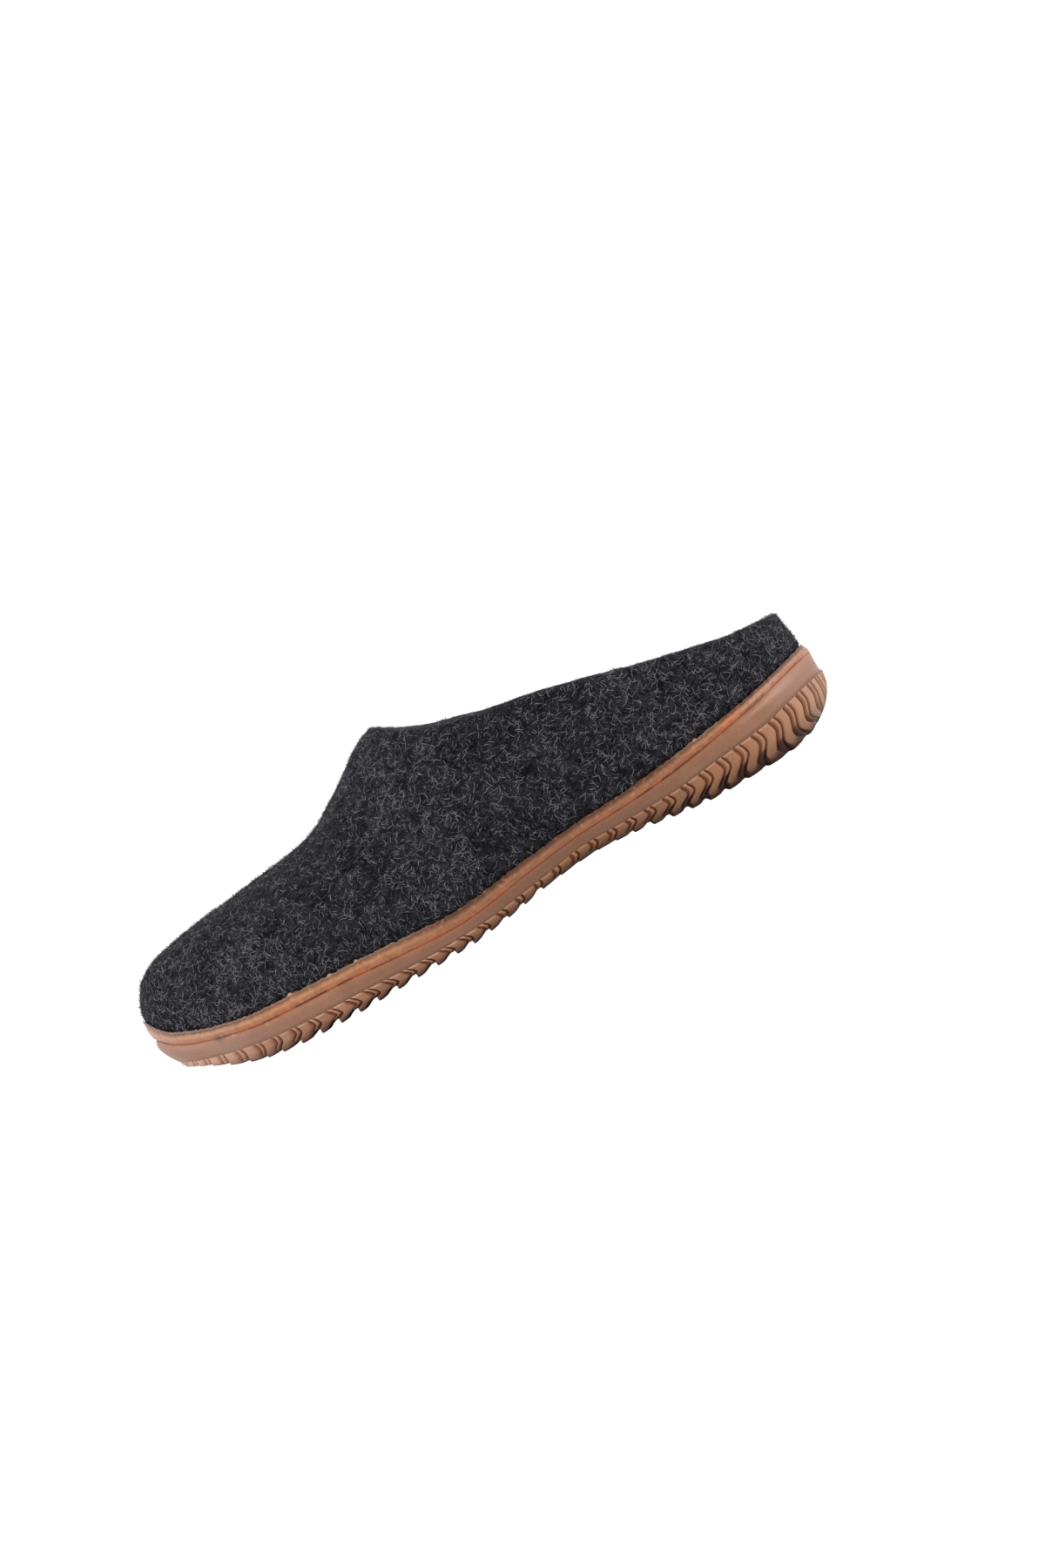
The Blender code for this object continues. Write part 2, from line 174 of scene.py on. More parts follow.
plan = station_curves(
    ("half_breadth", "middle", "crest"),
    (
        (0.0, 49.0, 8.0, 8.0),
        (40.0, 50.5, 6.0, 9.5),
        (95.0, 53.0, 0.5, 8.0),
        (130.0, 50.0, -2.5, 4.5),
        (178.0, 41.0, -4.0, 0.0),
        (215.0, 39.5, -2.0, -1.0),
        (250.0, 40.0, 0.0, 0.0),
        (285.0, 39.5, 0.5, 0.5),
    ),
)
sole = station_curves(
    ("tread", "lug_top", "seam", "rand_top"),
    (
        (0.0, 25.5, 21.2, 31.4, 39.2),
        (5.0, 19.2, 18.3, 26.4, 32.4),
        (12.0, 13.2, 15.4, 22.6, 27.9),
        (25.0, 6.1, 11.7, 18.4, 23.3),
        (39.0, 2.3, 9.0, 15.5, 20.3),
        (55.0, 0.6, 7.4, 14.2, 19.2),
        (75.0, 0.0, 6.5, 12.8, 17.8),
        (95.0, 0.0, 5.1, 10.7, 16.3),
        (110.0, 0.0, 4.6, 9.4, 14.8),
        (121.0, 0.0, 4.7, 8.9, 14.2),
        (131.0, 0.9, 5.1, 9.5, 14.6),
        (142.0, 2.2, 6.3, 11.0, 15.9),
        (157.0, 4.5, 8.1, 12.9, 17.5),
        (178.0, 6.1, 10.6, 14.8, 19.1),
        (197.0, 4.4, 10.2, 15.2, 19.8),
        (212.0, 2.0, 10.1, 16.1, 20.9),
        (232.0, 0.0, 11.7, 18.4, 23.0),
        (256.0, 0.0, 13.9, 22.5, 26.2),
        (270.0, 2.4, 17.1, 25.5, 29.1),
        (280.0, 8.6, 19.3, 27.8, 31.5),
        (285.0, 16.6, 20.1, 28.9, 32.7),
    ),
)
# How the lugs change along the sole. Shift is how far they lie towards the heel from an even spacing.
# Their edges run towards the heel down to a bend, at a share of their height, run on to the foot and hook
# back below it. Then the depth of the notches under the sole, how narrow those are, and how much the lugs
# stand out, their grooves reach the foot and open there.
lug_form = station_curves(
    ("shift", "bend_down", "bend", "foot", "hook", "notch", "narrow", "relief", "through", "open"),
    (
        (0.0, 0.0, 0.4, 0.0, 0.0, 0.0, 0.5, 1.0, 0.2, 0.5, 0.0),
        (8.0, 1.0, 0.4, 0.0, 0.0, 0.0, 0.6, 1.0, 0.3, 0.5, 0.0),
        (20.0, 1.9, 0.4, 0.3, 0.3, 0.0, 0.7, 1.0, 0.45, 0.6, 0.0),
        (31.0, 2.2, 0.4, 1.1, 0.8, 0.0, 0.8, 1.0, 0.65, 0.7, 0.0),
        (38.0, 1.8, 0.36, 0.5, -1.4, 0.0, 1.1, 0.6, 0.85, 0.7, 0.0),
        (46.5, 1.5, 0.36, 0.9, -1.7, 0.0, 1.5, 0.4, 1.0, 0.7, 0.0),
        (54.0, 0.9, 0.45, 1.5, -0.4, 0.0, 1.9, 0.1, 1.0, 0.6, 0.0),
        (61.0, 0.5, 0.56, 2.7, 0.1, 0.0, 2.1, 0.0, 1.0, 0.6, 0.0),
        (72.0, 0.4, 0.6, 3.3, 0.3, 0.0, 2.0, 0.0, 1.0, 0.6, 0.0),
        (82.0, -0.2, 0.6, 3.2, 1.1, 0.0, 1.8, 0.0, 1.0, 0.6, 0.0),
        (92.0, -0.35, 0.6, 3.0, 1.6, 0.0, 1.7, 0.0, 1.0, 0.6, 0.0),
        (106.0, -0.7, 0.62, 2.6, 2.3, 0.0, 1.7, 0.0, 1.0, 0.6, 0.0),
        (114.0, -0.55, 0.62, 2.8, 2.3, 0.0, 1.6, 0.0, 1.0, 0.6, 0.0),
        (122.0, -0.45, 0.62, 2.4, 1.2, 0.0, 1.5, 0.1, 1.0, 0.6, 0.0),
        (131.0, -0.1, 0.62, 1.6, 0.5, 0.0, 1.3, 0.2, 1.0, 0.5, 0.0),
        (140.0, 0.5, 0.6, 1.2, 0.0, 0.0, 1.1, 0.3, 1.0, 0.4, 0.0),
        (148.0, 1.3, 0.5, 0.4, -1.0, 0.0, 1.1, 0.5, 1.0, 0.3, 0.0),
        (153.0, 1.65, 0.47, 0.35, -1.0, 0.0, 1.3, 0.3, 1.0, 0.2, 0.0),
        (157.0, 2.0, 0.45, 0.3, -1.0, 0.0, 0.5, 0.8, 1.0, 0.15, 0.0),
        (175.0, 2.5, 0.4, 0.7, -0.8, 0.0, 0.3, 1.0, 1.0, 0.1, 0.0),
        (190.0, 2.1, 0.4, 1.0, -1.2, 0.0, 0.5, 1.0, 1.0, 0.15, 0.0),
        (200.0, 1.95, 0.4, 1.3, -2.0, 0.0, 1.6, 0.5, 1.0, 0.4, 0.2),
        (218.0, 1.7, 0.4, 1.6, -2.8, 0.0, 1.6, 0.5, 1.0, 0.7, 0.5),
        (230.0, 1.6, 0.38, 1.6, -3.6, 0.0, 1.4, 0.6, 1.0, 0.7, 0.6),
        (240.0, 1.3, 0.36, 1.6, -3.4, 0.0, 0.9, 1.0, 1.0, 0.7, 0.6),
        (253.0, 1.2, 0.32, 1.5, -2.4, 0.3, 0.8, 1.0, 1.0, 0.7, 0.6),
        (261.0, 1.4, 0.28, 1.2, -2.2, 2.2, 0.7, 1.0, 1.0, 0.7, 0.5),
        (268.0, 0.9, 0.26, 1.0, -2.2, 4.2, 0.7, 1.0, 1.0, 0.7, 0.4),
        (275.0, 0.8, 0.26, 1.0, -3.0, 7.0, 0.7, 1.0, 0.9, 0.7, 0.3),
        (285.0, 0.0, 0.26, 0.6, -2.0, 4.0, 0.5, 1.0, 0.8, 0.6, 0.2),
    ),
)


def rounding(distance, length, power):
    """Share of the full breadth that is left at a distance from a rounded tip."""
    left = np.clip(1.0 - distance / length, 0.0, 1.0)
    return (1.0 - left**power) ** (1.0 / power)


def plan_point(side, share, inset):
    """Station and Y of the outline at a share of the length, drawn in by an inset."""
    along = share * LENGTH
    round_off = rounding(along, *TOE_ROUND) * rounding(LENGTH - along, *HEEL_ROUND)
    station = inset + share * (LENGTH - 2.0 * inset)
    return station, plan["middle"](along) + side * (plan["half_breadth"](along) - inset) * round_off


sampled_shares = (1.0 - np.cos(np.linspace(0.0, math.pi, OUTLINE_SAMPLES))) / 2.0
outermost = [plan_point(side, sampled_shares, -WALL_FLARE - LUG_PROUD)[1] for side in SIDES]
PLAN_CENTRE = (outermost[0].min() + outermost[1].max()) / 2.0


def place(station, y, z):
    """Points in metres, with the middle of the slipper at X = Y = 0."""
    station, y, z = np.broadcast_arrays(station, y, z)
    return np.stack((station - LENGTH / 2.0, y - PLAN_CENTRE, z), axis=-1) * MM


def station_of(points):
    return points[..., 0] / MM + LENGTH / 2.0


def outline_arc(side):
    """Shares of the length by arc from the toe in millimetres, and the whole arc, on one side."""
    station, y = plan_point(side, sampled_shares, 0.0)
    arcs = np.concatenate(((0.0,), np.cumsum(np.hypot(np.diff(station), np.diff(y)))))
    return lambda arc_share: np.interp(arc_share * arcs[-1], arcs, sampled_shares), arcs[-1]


def tip_share(distance):
    """1 at the very tip of the toe or heel, fading to 0 along the sides."""
    return np.clip(1.0 - distance / TIP_LENGTH, 0.0, 1.0) ** 2


def side_insets(share):
    """Insets of the top of the lugs and of the edge of the tread."""
    toe = tip_share(share * LENGTH)
    heel = tip_share(LENGTH - share * LENGTH)
    return TOE_WALL_TUCK * toe - WALL_FLARE, TREAD_EDGE_INSET + TOE_TREAD_TUCK * toe + HEEL_TREAD_TUCK * heel


def seat_out(share):
    """How much farther out the top of the wall stands at the tips, where the seam hardly shows."""
    return TOE_SEAT_OUT * tip_share(share * LENGTH) + HEEL_SEAT_OUT * tip_share(LENGTH - share * LENGTH)


def lug_run(down, station):
    """How far a lug's edge has run towards the heel, at a share of its height down from its top."""
    bend_down, bend, foot, hook = [lug_form[name](station) for name in ("bend_down", "bend", "foot", "hook")]
    lean_end = np.maximum(LUG_LEAN_END, bend_down + LUG_LOWER_ARM)
    above = np.sin(np.clip(down / bend_down, 0.0, 1.0) * math.pi / 2.0)
    below = np.clip((down - bend_down) / (lean_end - bend_down), 0.0, 1.0)
    below = (below + LUG_LEAN_ROUND * (np.exp(-below / LUG_LEAN_ROUND) - 1.0)) / (1.0 - LUG_LEAN_ROUND)
    hooked = ramp(down, LUG_HOOK_START, 1.0)
    return bend * above + (foot - bend) * below + hook * hooked


def lug_share(arc_share):
    """Share of the length where the lugs have an arc share, on both sides so that grooves run straight."""
    share = outer_share_at(arc_share)
    return share + lug_form["shift"](share * LENGTH) / LENGTH


outer_share_at, arc_length = outline_arc(OUTER_SIDE)
lug_count = round(arc_length / LUG_PITCH)
past_rib, side_cut, under_cut = np.array(LUG_PROFILE).T
arc_share = ((np.arange(lug_count)[:, None] + past_rib / LUG_PITCH) / lug_count).ravel()
arc_share = np.append(arc_share, 1.0)[:, None]
heel_rise = LUG_RISE_SHARE * ramp(past_rib - LUG_PITCH / 2.0, -LUG_HALF_LENGTH, LUG_HALF_LENGTH)
past_rib, side_cut, beside_lug, heel_rise = [
    np.append(np.tile(values, lug_count), values[0])[:, None]
    for values in (past_rib, side_cut, under_cut, heel_rise)
]
lean_strength = smooth_step(np.minimum(arc_share, 1.0 - arc_share) * arc_length / LEAN_TIP_LENGTH)
lug_along = lug_share(arc_share) * LENGTH
narrow, relief, through, opened = [
    lug_form[name](lug_along) for name in ("narrow", "relief", "through", "open")
]
under_cut = beside_lug ** blend(1.0, LUG_NARROW_POWER, narrow)
groove_opening = ramp(np.array(LUG_ROWS), *GROOVE_OPENS)
lug_cut = blend(side_cut, blend(side_cut * through, under_cut, opened), groove_opening)


def sole_side(side):
    """Points down one side of the sole at each arc share, from the seat to the edge of the tread."""
    share = lug_share(arc_share)
    lug_inset, edge_inset = side_insets(share)
    down, edge_round, edge_drop = np.array(WALL_ROWS).T
    seat = WALL_SEAT_INSET * (1.0 - down) * (1.0 - 2.0 * down)
    inset = seat + 4.0 * WALL_BELLY_INSET * down * (1.0 - down) + lug_inset * down * (2.0 * down - 1.0)
    inset = inset - seat_out(share) * (1.0 - down) ** 1.5
    station, y = plan_point(side, share, inset + edge_round)
    z = blend(sole["seam"](station), sole["lug_top"](station), down) - edge_drop
    wall = place(station, y, z)

    tread_station = plan_point(side, share, edge_inset)[0]
    lug_station = plan_point(side, share, lug_inset)[0]
    height = np.clip(sole["lug_top"](lug_station) - sole["tread"](tread_station), LUG_LEAST_HEIGHT, None)
    down = np.array(LUG_ROWS)
    share = lug_share(arc_share + lug_run(down, lug_along) * lean_strength / arc_length)
    lug_inset, edge_inset = side_insets(share)

    # The grooves run straight across the sole, so they keep their station where the sides tuck in
    shoulder = LUG_PROUD * relief * smooth_step(down * height / LUG_SHOULDER)
    at_tip = np.maximum(tip_share(share * LENGTH), tip_share(LENGTH - share * LENGTH))
    square = down ** blend(LUG_SQUARE, LUG_SQUARE_AT_TIPS, at_tip)
    inset = lug_inset - shoulder + (edge_inset - lug_inset + LUG_PROUD * relief) * square
    tucked_in = inset - lug_inset
    reach = np.maximum(np.abs(tucked_in), 0.01)
    across = plan_point(side, share, lug_inset)[0]
    across = across + tucked_in * np.exp(-(across - lug_inset) / reach)
    across = across - tucked_in * np.exp(-(LENGTH - lug_inset - across) / reach)
    share = np.clip((across - inset) / (LENGTH - 2.0 * inset), 0.0, 1.0)
    inset = inset + GROOVE_SIDE_DEPTH * relief * lug_cut * smooth_step(down * height / GROOVE_TOP_RUN)
    station, y = plan_point(side, share, inset + TREAD_EDGE_ROUND * (down == 1.0))
    tread_station = plan_point(side, share, edge_inset)[0]
    notch = lug_form["notch"](tread_station) * (under_cut + heel_rise)
    foot = sole["tread"](tread_station) + notch * down
    lugs = place(station, y, blend(sole["lug_top"](station), foot, down))
    return wall, lugs


def grid_ids(points):
    """Vertex numbers of a grid of points."""
    return np.arange(points[..., 0].size).reshape(points.shape[:-1])


def grid_faces(ids):
    """Quads between neighbouring rows and columns of a grid of vertex numbers."""
    return np.stack((ids[:-1, :-1], ids[:-1, 1:], ids[1:, 1:], ids[1:, :-1]), axis=-1).reshape(-1, 4)


def tube_faces(ids):
    """Quads of a grid of vertex numbers whose last column meets its first."""
    return grid_faces(np.concatenate((ids, ids[:, :1]), axis=1))


def mesh_piece(name, points, faces, material, masks=None, weld=True):
    """Smooth object from points and groups of faces, with masks kept as values on its points."""
    mesh = bpy.data.meshes.new(name)
    mesh.from_pydata(points.reshape(-1, 3).tolist(), [], [face for group in faces for face in group.tolist()])
    for mask, values in (masks or {}).items():
        layer = mesh.attributes.new(mask, "FLOAT", "POINT")
        layer.data.foreach_set("value", values.ravel().astype(np.float32))
    if weld:
        welded = bmesh.new()
        welded.from_mesh(mesh)
        bmesh.ops.remove_doubles(welded, verts=welded.verts, dist=0.001 * MM)
        loose = [vertex for vertex in welded.verts if not vertex.link_faces]
        bmesh.ops.delete(welded, geom=loose, context="VERTS")
        bmesh.ops.recalc_face_normals(welded, faces=welded.faces)
        welded.to_mesh(mesh)
        welded.free()
    mesh.materials.append(material)
    mesh.shade_smooth()
    piece = bpy.data.objects.new(name, mesh)
    bpy.context.scene.collection.objects.link(piece)
    return piece


def linear(hex_colour):
    """Linear RGBA of an sRGB hex colour."""
    channels = [int(hex_colour[i : i + 2], 16) / 255.0 for i in (1, 3, 5)]
    return (*[c / 12.92 if c <= 0.04045 else ((c + 0.055) / 1.055) ** 2.4 for c in channels], 1.0)


def set_inputs(tree, node, inputs):
    """Give each named input of a node a value or a link."""
    for name, value in inputs.items():
        if isinstance(value, bpy.types.NodeSocket):
            tree.links.new(value, node.inputs[name])
        else:
            node.inputs[name].default_value = value


def add_node(tree, kind, inputs, output=0, **settings):
    """Add a node with its settings, values and links, and return one of its outputs."""
    node = tree.nodes.new(kind)
    for name, value in settings.items():
        setattr(node, name, value)
    set_inputs(tree, node, inputs)
    return node.outputs[output]


# How a mix of two colours names its inputs and settings, and a mapped range its inputs
SHARE, UNDER, OVER = 0, 6, 7
COLOUR_MIX = {"data_type": "RGBA", "output": 2}
MAP_RANGE = ("Value", "From Min", "From Max", "To Min", "To Max")


def new_surface(name):
    """New material with its node tree and its shader."""
    material = bpy.data.materials.new(name)
    material.use_nodes = True
    return material, material.node_tree, material.node_tree.nodes["Principled BSDF"]


def lay_tints(tree, colour, tints):
    """Lay tints over a colour in turn, each as strongly as it says and where the mask it names is high."""
    for mask, strength, tint in tints:
        share = add_node(tree, "ShaderNodeAttribute", {}, "Fac", attribute_name=mask)
        share = add_node(tree, "ShaderNodeMath", {0: share, 1: strength}, operation="MULTIPLY")
        inputs = {SHARE: share, UNDER: colour, OVER: linear(tint)}
        colour = add_node(tree, "ShaderNodeMix", inputs, **COLOUR_MIX)
    return colour


def per_metre(size):
    """Texture scale at which a pattern repeats about once in a size in millimetres."""
    return 1.0 / (size * MM)


def unit(vectors):
    return vectors / np.maximum(np.linalg.norm(vectors, axis=-1, keepdims=True), 1e-12)


def wave_noise(points, size, seed, waves=28):
    """Smooth random value, mostly between -1 and 1, at points in metres, from waves about a size long."""
    rng = np.random.default_rng(seed)
    ways = unit(rng.normal(size=(waves, 3))) * 2.0 * math.pi * per_metre(size)
    ways *= rng.uniform(0.7, 1.4, (waves, 1))
    return np.cos(points @ ways.T + rng.uniform(0.0, 2.0 * math.pi, waves)).sum(axis=-1) / math.sqrt(waves)


# Natural rubber, compression moulded: a dull satin skin with faint clouds of colour, pinker and paler at
# the ends, with painted shade low on the sides, in the grooves and under the tread, and painted
# highlights on the lugs.
RUBBER_IOR = 1.52
RUBBER_GLOSS = 0.3
SOLE_CLOUD_SIZE = 9.0
SOLE_GRAIN_SIZE = 0.7
SOLE_GRAIN_DEPTH = 0.15
# Tints laid in turn. Painted shade: on the lower wall, in the corner above the lugs, in the grooves, under
# the tread and at the lugs' feet; painted highlights: at the heel and on the lugs' edges and ribs
SOLE_TINTS = (
    ("waist", 0.8, "#664228"),
    ("pale_end", 0.6, "#8E6D5C"),
    ("painted_low_shade", 0.4, "#553C2F"),
    ("painted_gleam", 0.42, "#B89380"),
    ("seam", 0.8, "#944020"),
    ("dash", 0.8, "#34170D"),
    ("smudge", 1.0, "#543F3A"),
    ("painted_corner_shade", 0.55, "#4A2F20"),
    ("wear_and_highlight", 0.68, "#B78F7B"),
    ("orange_wear_and_highlight", 0.7, "#B07A4C"),
    ("groove", 0.7, "#6E3A1C"),
    ("tread", 0.75, "#3C2614"),
    ("foot", 0.95, "#2C0D04"),
)
sole_rubber, tree, shader = new_surface("natural_rubber_compression_moulded")
coords = add_node(tree, "ShaderNodeTexCoord", {}, "Object")
clouds, grain = [
    add_node(tree, "ShaderNodeTexNoise", {"Vector": coords, "Scale": per_metre(size), "Detail": detail})
    for size, detail in ((SOLE_CLOUD_SIZE, 4.0), (SOLE_GRAIN_SIZE, 3.0))
]
cloud_share, grain_share, roughness = [
    add_node(tree, "ShaderNodeMapRange", dict(zip(MAP_RANGE, values)))
    for values in (
        (clouds, 0.32, 0.68, 0.0, 1.0),
        (grain, 0.3, 0.7, 0.9, 1.08),
        (clouds, 0.3, 0.7, 0.46, 0.6),
    )
]
inputs = {SHARE: cloud_share, UNDER: linear("#7C523A"), OVER: linear("#8D6149")}
colour = add_node(tree, "ShaderNodeMix", inputs, **COLOUR_MIX)
colour = lay_tints(tree, colour, SOLE_TINTS)
inputs = {SHARE: 1.0, UNDER: colour, OVER: grain_share}
colour = add_node(tree, "ShaderNodeMix", inputs, blend_type="MULTIPLY", **COLOUR_MIX)
inputs = {"Height": grain, "Strength": 0.3, "Distance": SOLE_GRAIN_DEPTH * MM}
bump = add_node(tree, "ShaderNodeBump", inputs, "Normal")
set_inputs(tree, shader, {"Base Color": colour, "Roughness": roughness, "Normal": bump})
set_inputs(tree, shader, {"IOR": RUBBER_IOR, "Specular IOR Level": RUBBER_GLOSS})

(outer_wall, outer_lugs), (inner_wall, inner_lugs) = [sole_side(side) for side in SIDES]
across = np.linspace(0.0, 1.0, TREAD_POINTS + 2)[1:-1][:, None]
tread = blend(outer_lugs[:, -1:] / MM, inner_lugs[:, -1:] / MM, across)
tread_station = tread[..., 0] + LENGTH / 2.0
notch = lug_form["notch"](tread_station) * (under_cut + heel_rise)
tread[..., 2] = sole["tread"](tread_station) + notch
tread *= MM
seat = (outer_wall[:, :1] + inner_wall[:, :1]) / 2.0
sole_points = np.concatenate(
    (outer_wall, outer_lugs, tread, inner_lugs[:, ::-1], inner_wall[:, ::-1], seat), axis=1
)
nub_place = (LENGTH / 2.0 * MM, seat[-1, 0, 1], HEEL_NUB_HEIGHT * MM)
nub_away = ((sole_points - nub_place) / MM / HEEL_NUB_HALF) ** 2
sole_points[..., 0] += HEEL_NUB * MM * np.exp(-nub_away.sum(axis=-1))

# Where the rubber changes colour: paler ends and a darker waist, red cement at the seam with a smudge
# near the toe, painted shade above, between and low on the lugs and under the tread, and painted highlights
# with some wear on the lugs' edges and ribs. A pair of sizes is the middle and half length of a stain,
# or where a change starts and where it is full.
PALE_TOE_REACH = 54.0
PALE_HEEL_REACH = 40.0
PALE_HEEL = 0.65
WAIST_STATION = 168.0
WAIST_HALF_LENGTH = 62.0
FORE_STARTS = (40.0, 60.0)
FORE_ENDS = (150.0, 125.0)
REAR_STARTS = (LENGTH / 2.0, LENGTH / 2.0 + 20.0)
HEEL_SIDE_STARTS = (212.0, 232.0)
HEEL_SIDE_ENDS = (281.0, 269.0)
SEAM_STAIN_REACH = 0.55
SEAM_CLEAN_HALF_LENGTH = 34.0
SEAM_TOE = (50.0, 15.0)
SEAM_HEEL = (240.0, 252.0)
SEAM_DASHES = ((62.0, 36.0), (214.0, 22.0))
SEAM_DASH_SIZE = 9.0
SMUDGE = (21.5, 1.35)
SMUDGE_DEPTH = 1.7
SMUDGE_FOLD = (23.8, 1.3)
GLINT_SIZE = 3.1
GLINT_BELOW_SEAM = (0.6, 0.4)
GLINTS_START = (24.5, 26.5)
GLINTS_END = (48.0, 40.0)
GLEAM = (264.5, 11.0)
GLEAM_BELOW_SEAM = 2.2
GLEAM_HALF_HEIGHTS = (0.6, 2.2)
GLEAM_SPREADS = (255.0, 279.0)
LOW_SHADE_FADES = (200.0, 230.0)
CORNER_SHADE_STARTS = (0.0, 60.0)
GROOVE_SHADE_FADES = (270.0, 281.0)
FOOT_SHADE_LINE_STARTS = (12.0, 26.0)
LUG_WEAR_AND_HIGHLIGHT_REACH = 1.0
RIB_MIDDLE = 7.95
RIB_REACH = (0.65, 0.15)
RIBS_START = (35.0, 60.0)
SEAT_INSET = 3.0
ALONG_ONLY = (1.0, 0.0, 0.0)


def round_sole(on_lugs=0.0, on_wall=0.0, on_tread=0.0):
    """Values by section and row round the sole, from those on its lugs, its wall and its tread."""
    rows = ((on_wall, len(WALL_ROWS)), (on_lugs, len(LUG_ROWS)), (on_tread, TREAD_POINTS))
    wall, lugs, tread = [np.broadcast_to(values, (len(arc_share), count)) for values, count in rows]
    side = np.concatenate((wall, lugs), axis=1)
    return np.concatenate((side, tread, side[:, ::-1], side[:, :1]), axis=1)


def pale_ends(station):
    """How much paler the rubber is towards the toe and the heel."""
    return ramp(station, PALE_TOE_REACH, 0.0) + PALE_HEEL * ramp(LENGTH - station, PALE_HEEL_REACH, 0.0)


def seam_stain(station):
    """How much red cement shows at the seam: little at the waist, and less at the toe and the heel."""
    left_at_waist = 1.0 - 0.9 * hump(station, WAIST_STATION, SEAM_CLEAN_HALF_LENGTH)
    left_at_toe = 1.0 - 0.4 * ramp(station, *SEAM_TOE)
    return left_at_waist * left_at_toe * blend(1.0, 0.4, ramp(station, *SEAM_HEEL))


def seam_dashes(points):
    """Broken dark line along the seam, strongest at the ball and in front of the heel."""
    station = station_of(points)
    broken = ramp(wave_noise(points * ALONG_ONLY, SEAM_DASH_SIZE, seed=35), -0.35, 0.15)
    dashes = broken * sum(hump(station, *dash) for dash in SEAM_DASHES)
    return np.maximum(dashes, hump(station, *SMUDGE_FOLD))


sole_station = station_of(sole_points)
below_seam = sole["seam"](sole_station) - sole_points[..., 2] / MM
below_lug_top = sole["lug_top"](sole_station) - sole_points[..., 2] / MM
down_wall, seat_inset, _ = np.array(WALL_ROWS).T
down_lugs = np.array(LUG_ROWS)
waist = hump(sole_station, WAIST_STATION, WAIST_HALF_LENGTH)
mid_waist = waist**3
fore = ramp(sole_station, *FORE_STARTS) * ramp(sole_station, *FORE_ENDS)
rear = ramp(sole_station, *REAR_STARTS)
heel_side = ramp(sole_station, *HEEL_SIDE_STARTS) * ramp(sole_station, *HEEL_SIDE_ENDS)

# Painted shade, darker towards the bottom: low on the wall, in the corner above the lugs, in the
# grooves, low on the lugs, under the tread and darkest at the lugs' feet
painted_low_shade = round_sole(0.15, ramp(down_wall, 0.05, 0.5))
# Painted shade in the corner where the wall meets the lugs' tops
painted_corner_shade = round_sole(down_lugs == 0.0, ramp(down_wall, 0.78, 0.96))
# Painted shade in the grooves and in the notches under the tread
groove = round_sole(lug_cut * ramp(down_lugs, 0.0, 0.03), on_tread=under_cut)
# Painted shade on the lower part of the lugs
shade_low_on_lugs = 0.5 * round_sole(ramp(down_lugs, 0.3, 0.8))
# Painted shade at the lugs' feet, where the grooves open under the sole, and a dark painted line along the
# foot
shade_at_foot = ramp(beside_lug + (down_lugs - 0.45) / 0.36, 1.0, 1.2) * ramp(down_lugs, 0.44, 0.64)
shade_at_foot = np.maximum(shade_at_foot, ramp(down_lugs, 0.83, 0.91)) * ramp(opened, 0.15, 0.5)
shade_at_foot = round_sole(shade_at_foot, seat_inset > SEAT_INSET)
shade_line_at_foot = 0.9 * round_sole(ramp(down_lugs, 0.86, 0.94)) * ramp(sole_station, *FOOT_SHADE_LINE_STARTS)

# Painted highlights with some wear: pale top edges on the lugs and pale ribs, orange at the waist, and
# pale sides at the ends, which are the rubber's own colour
on_lugs = round_sole(ramp(down_lugs, 0.0, 0.02))
on_lug_top = round_sole(ramp(down_lugs, 0.0, 0.02) * (down_lugs < 0.4))
wear_and_highlight = on_lug_top * ramp(below_lug_top, LUG_WEAR_AND_HIGHLIGHT_REACH, 0.0) * (1.0 - side_cut)
orange_wear_and_highlight = wear_and_highlight * mid_waist
wear_and_highlight = wear_and_highlight * (1.0 - mid_waist) * blend(1.0, 1.3, fore)
from_rib = np.abs((past_rib - RIB_MIDDLE + LUG_PITCH / 2.0) % LUG_PITCH - LUG_PITCH / 2.0)
on_rib = round_sole(ramp(from_rib, *RIB_REACH) * (1.0 - down_lugs)) * ramp(sole_station, *RIBS_START)
orange_wear_and_highlight = np.maximum(orange_wear_and_highlight, 0.8 * on_rib * waist)
orange_wear_and_highlight = np.maximum(orange_wear_and_highlight, 0.2 * on_lugs * heel_side)
wear_and_highlight = np.maximum(wear_and_highlight, 0.7 * on_rib * (1.0 - waist))
worn_side = pale_ends(sole_station) * blend(0.65, 0.75, rear) * (1.0 - smooth_step(groove))
wear_and_highlight = np.maximum(wear_and_highlight, on_lugs * worn_side)

# Marks at the seam: cement, dashes and a smudge on the outer side, with small painted glints just below
# the seam near the toe and a painted highlight on the wall at the heel
on_seam = ramp(below_seam, SEAM_STAIN_REACH, 0.0)
glints = 0.55 * ramp(wave_noise(sole_points * ALONG_ONLY, GLINT_SIZE, seed=37), 0.3, 0.9)
glints = glints * hump(below_seam, *GLINT_BELOW_SEAM)
glints = glints * ramp(sole_station, *GLINTS_START) * ramp(sole_station, *GLINTS_END)
smudge = hump(sole_station, *SMUDGE) * hump(below_seam, 0.0, SMUDGE_DEPTH) * (sole_points[..., 1] < 0.0)
gleam_half_height = blend(*GLEAM_HALF_HEIGHTS, ramp(sole_station, *GLEAM_SPREADS))
painted_gleam = hump(sole_station, *GLEAM) * hump(below_seam, GLEAM_BELOW_SEAM, gleam_half_height)
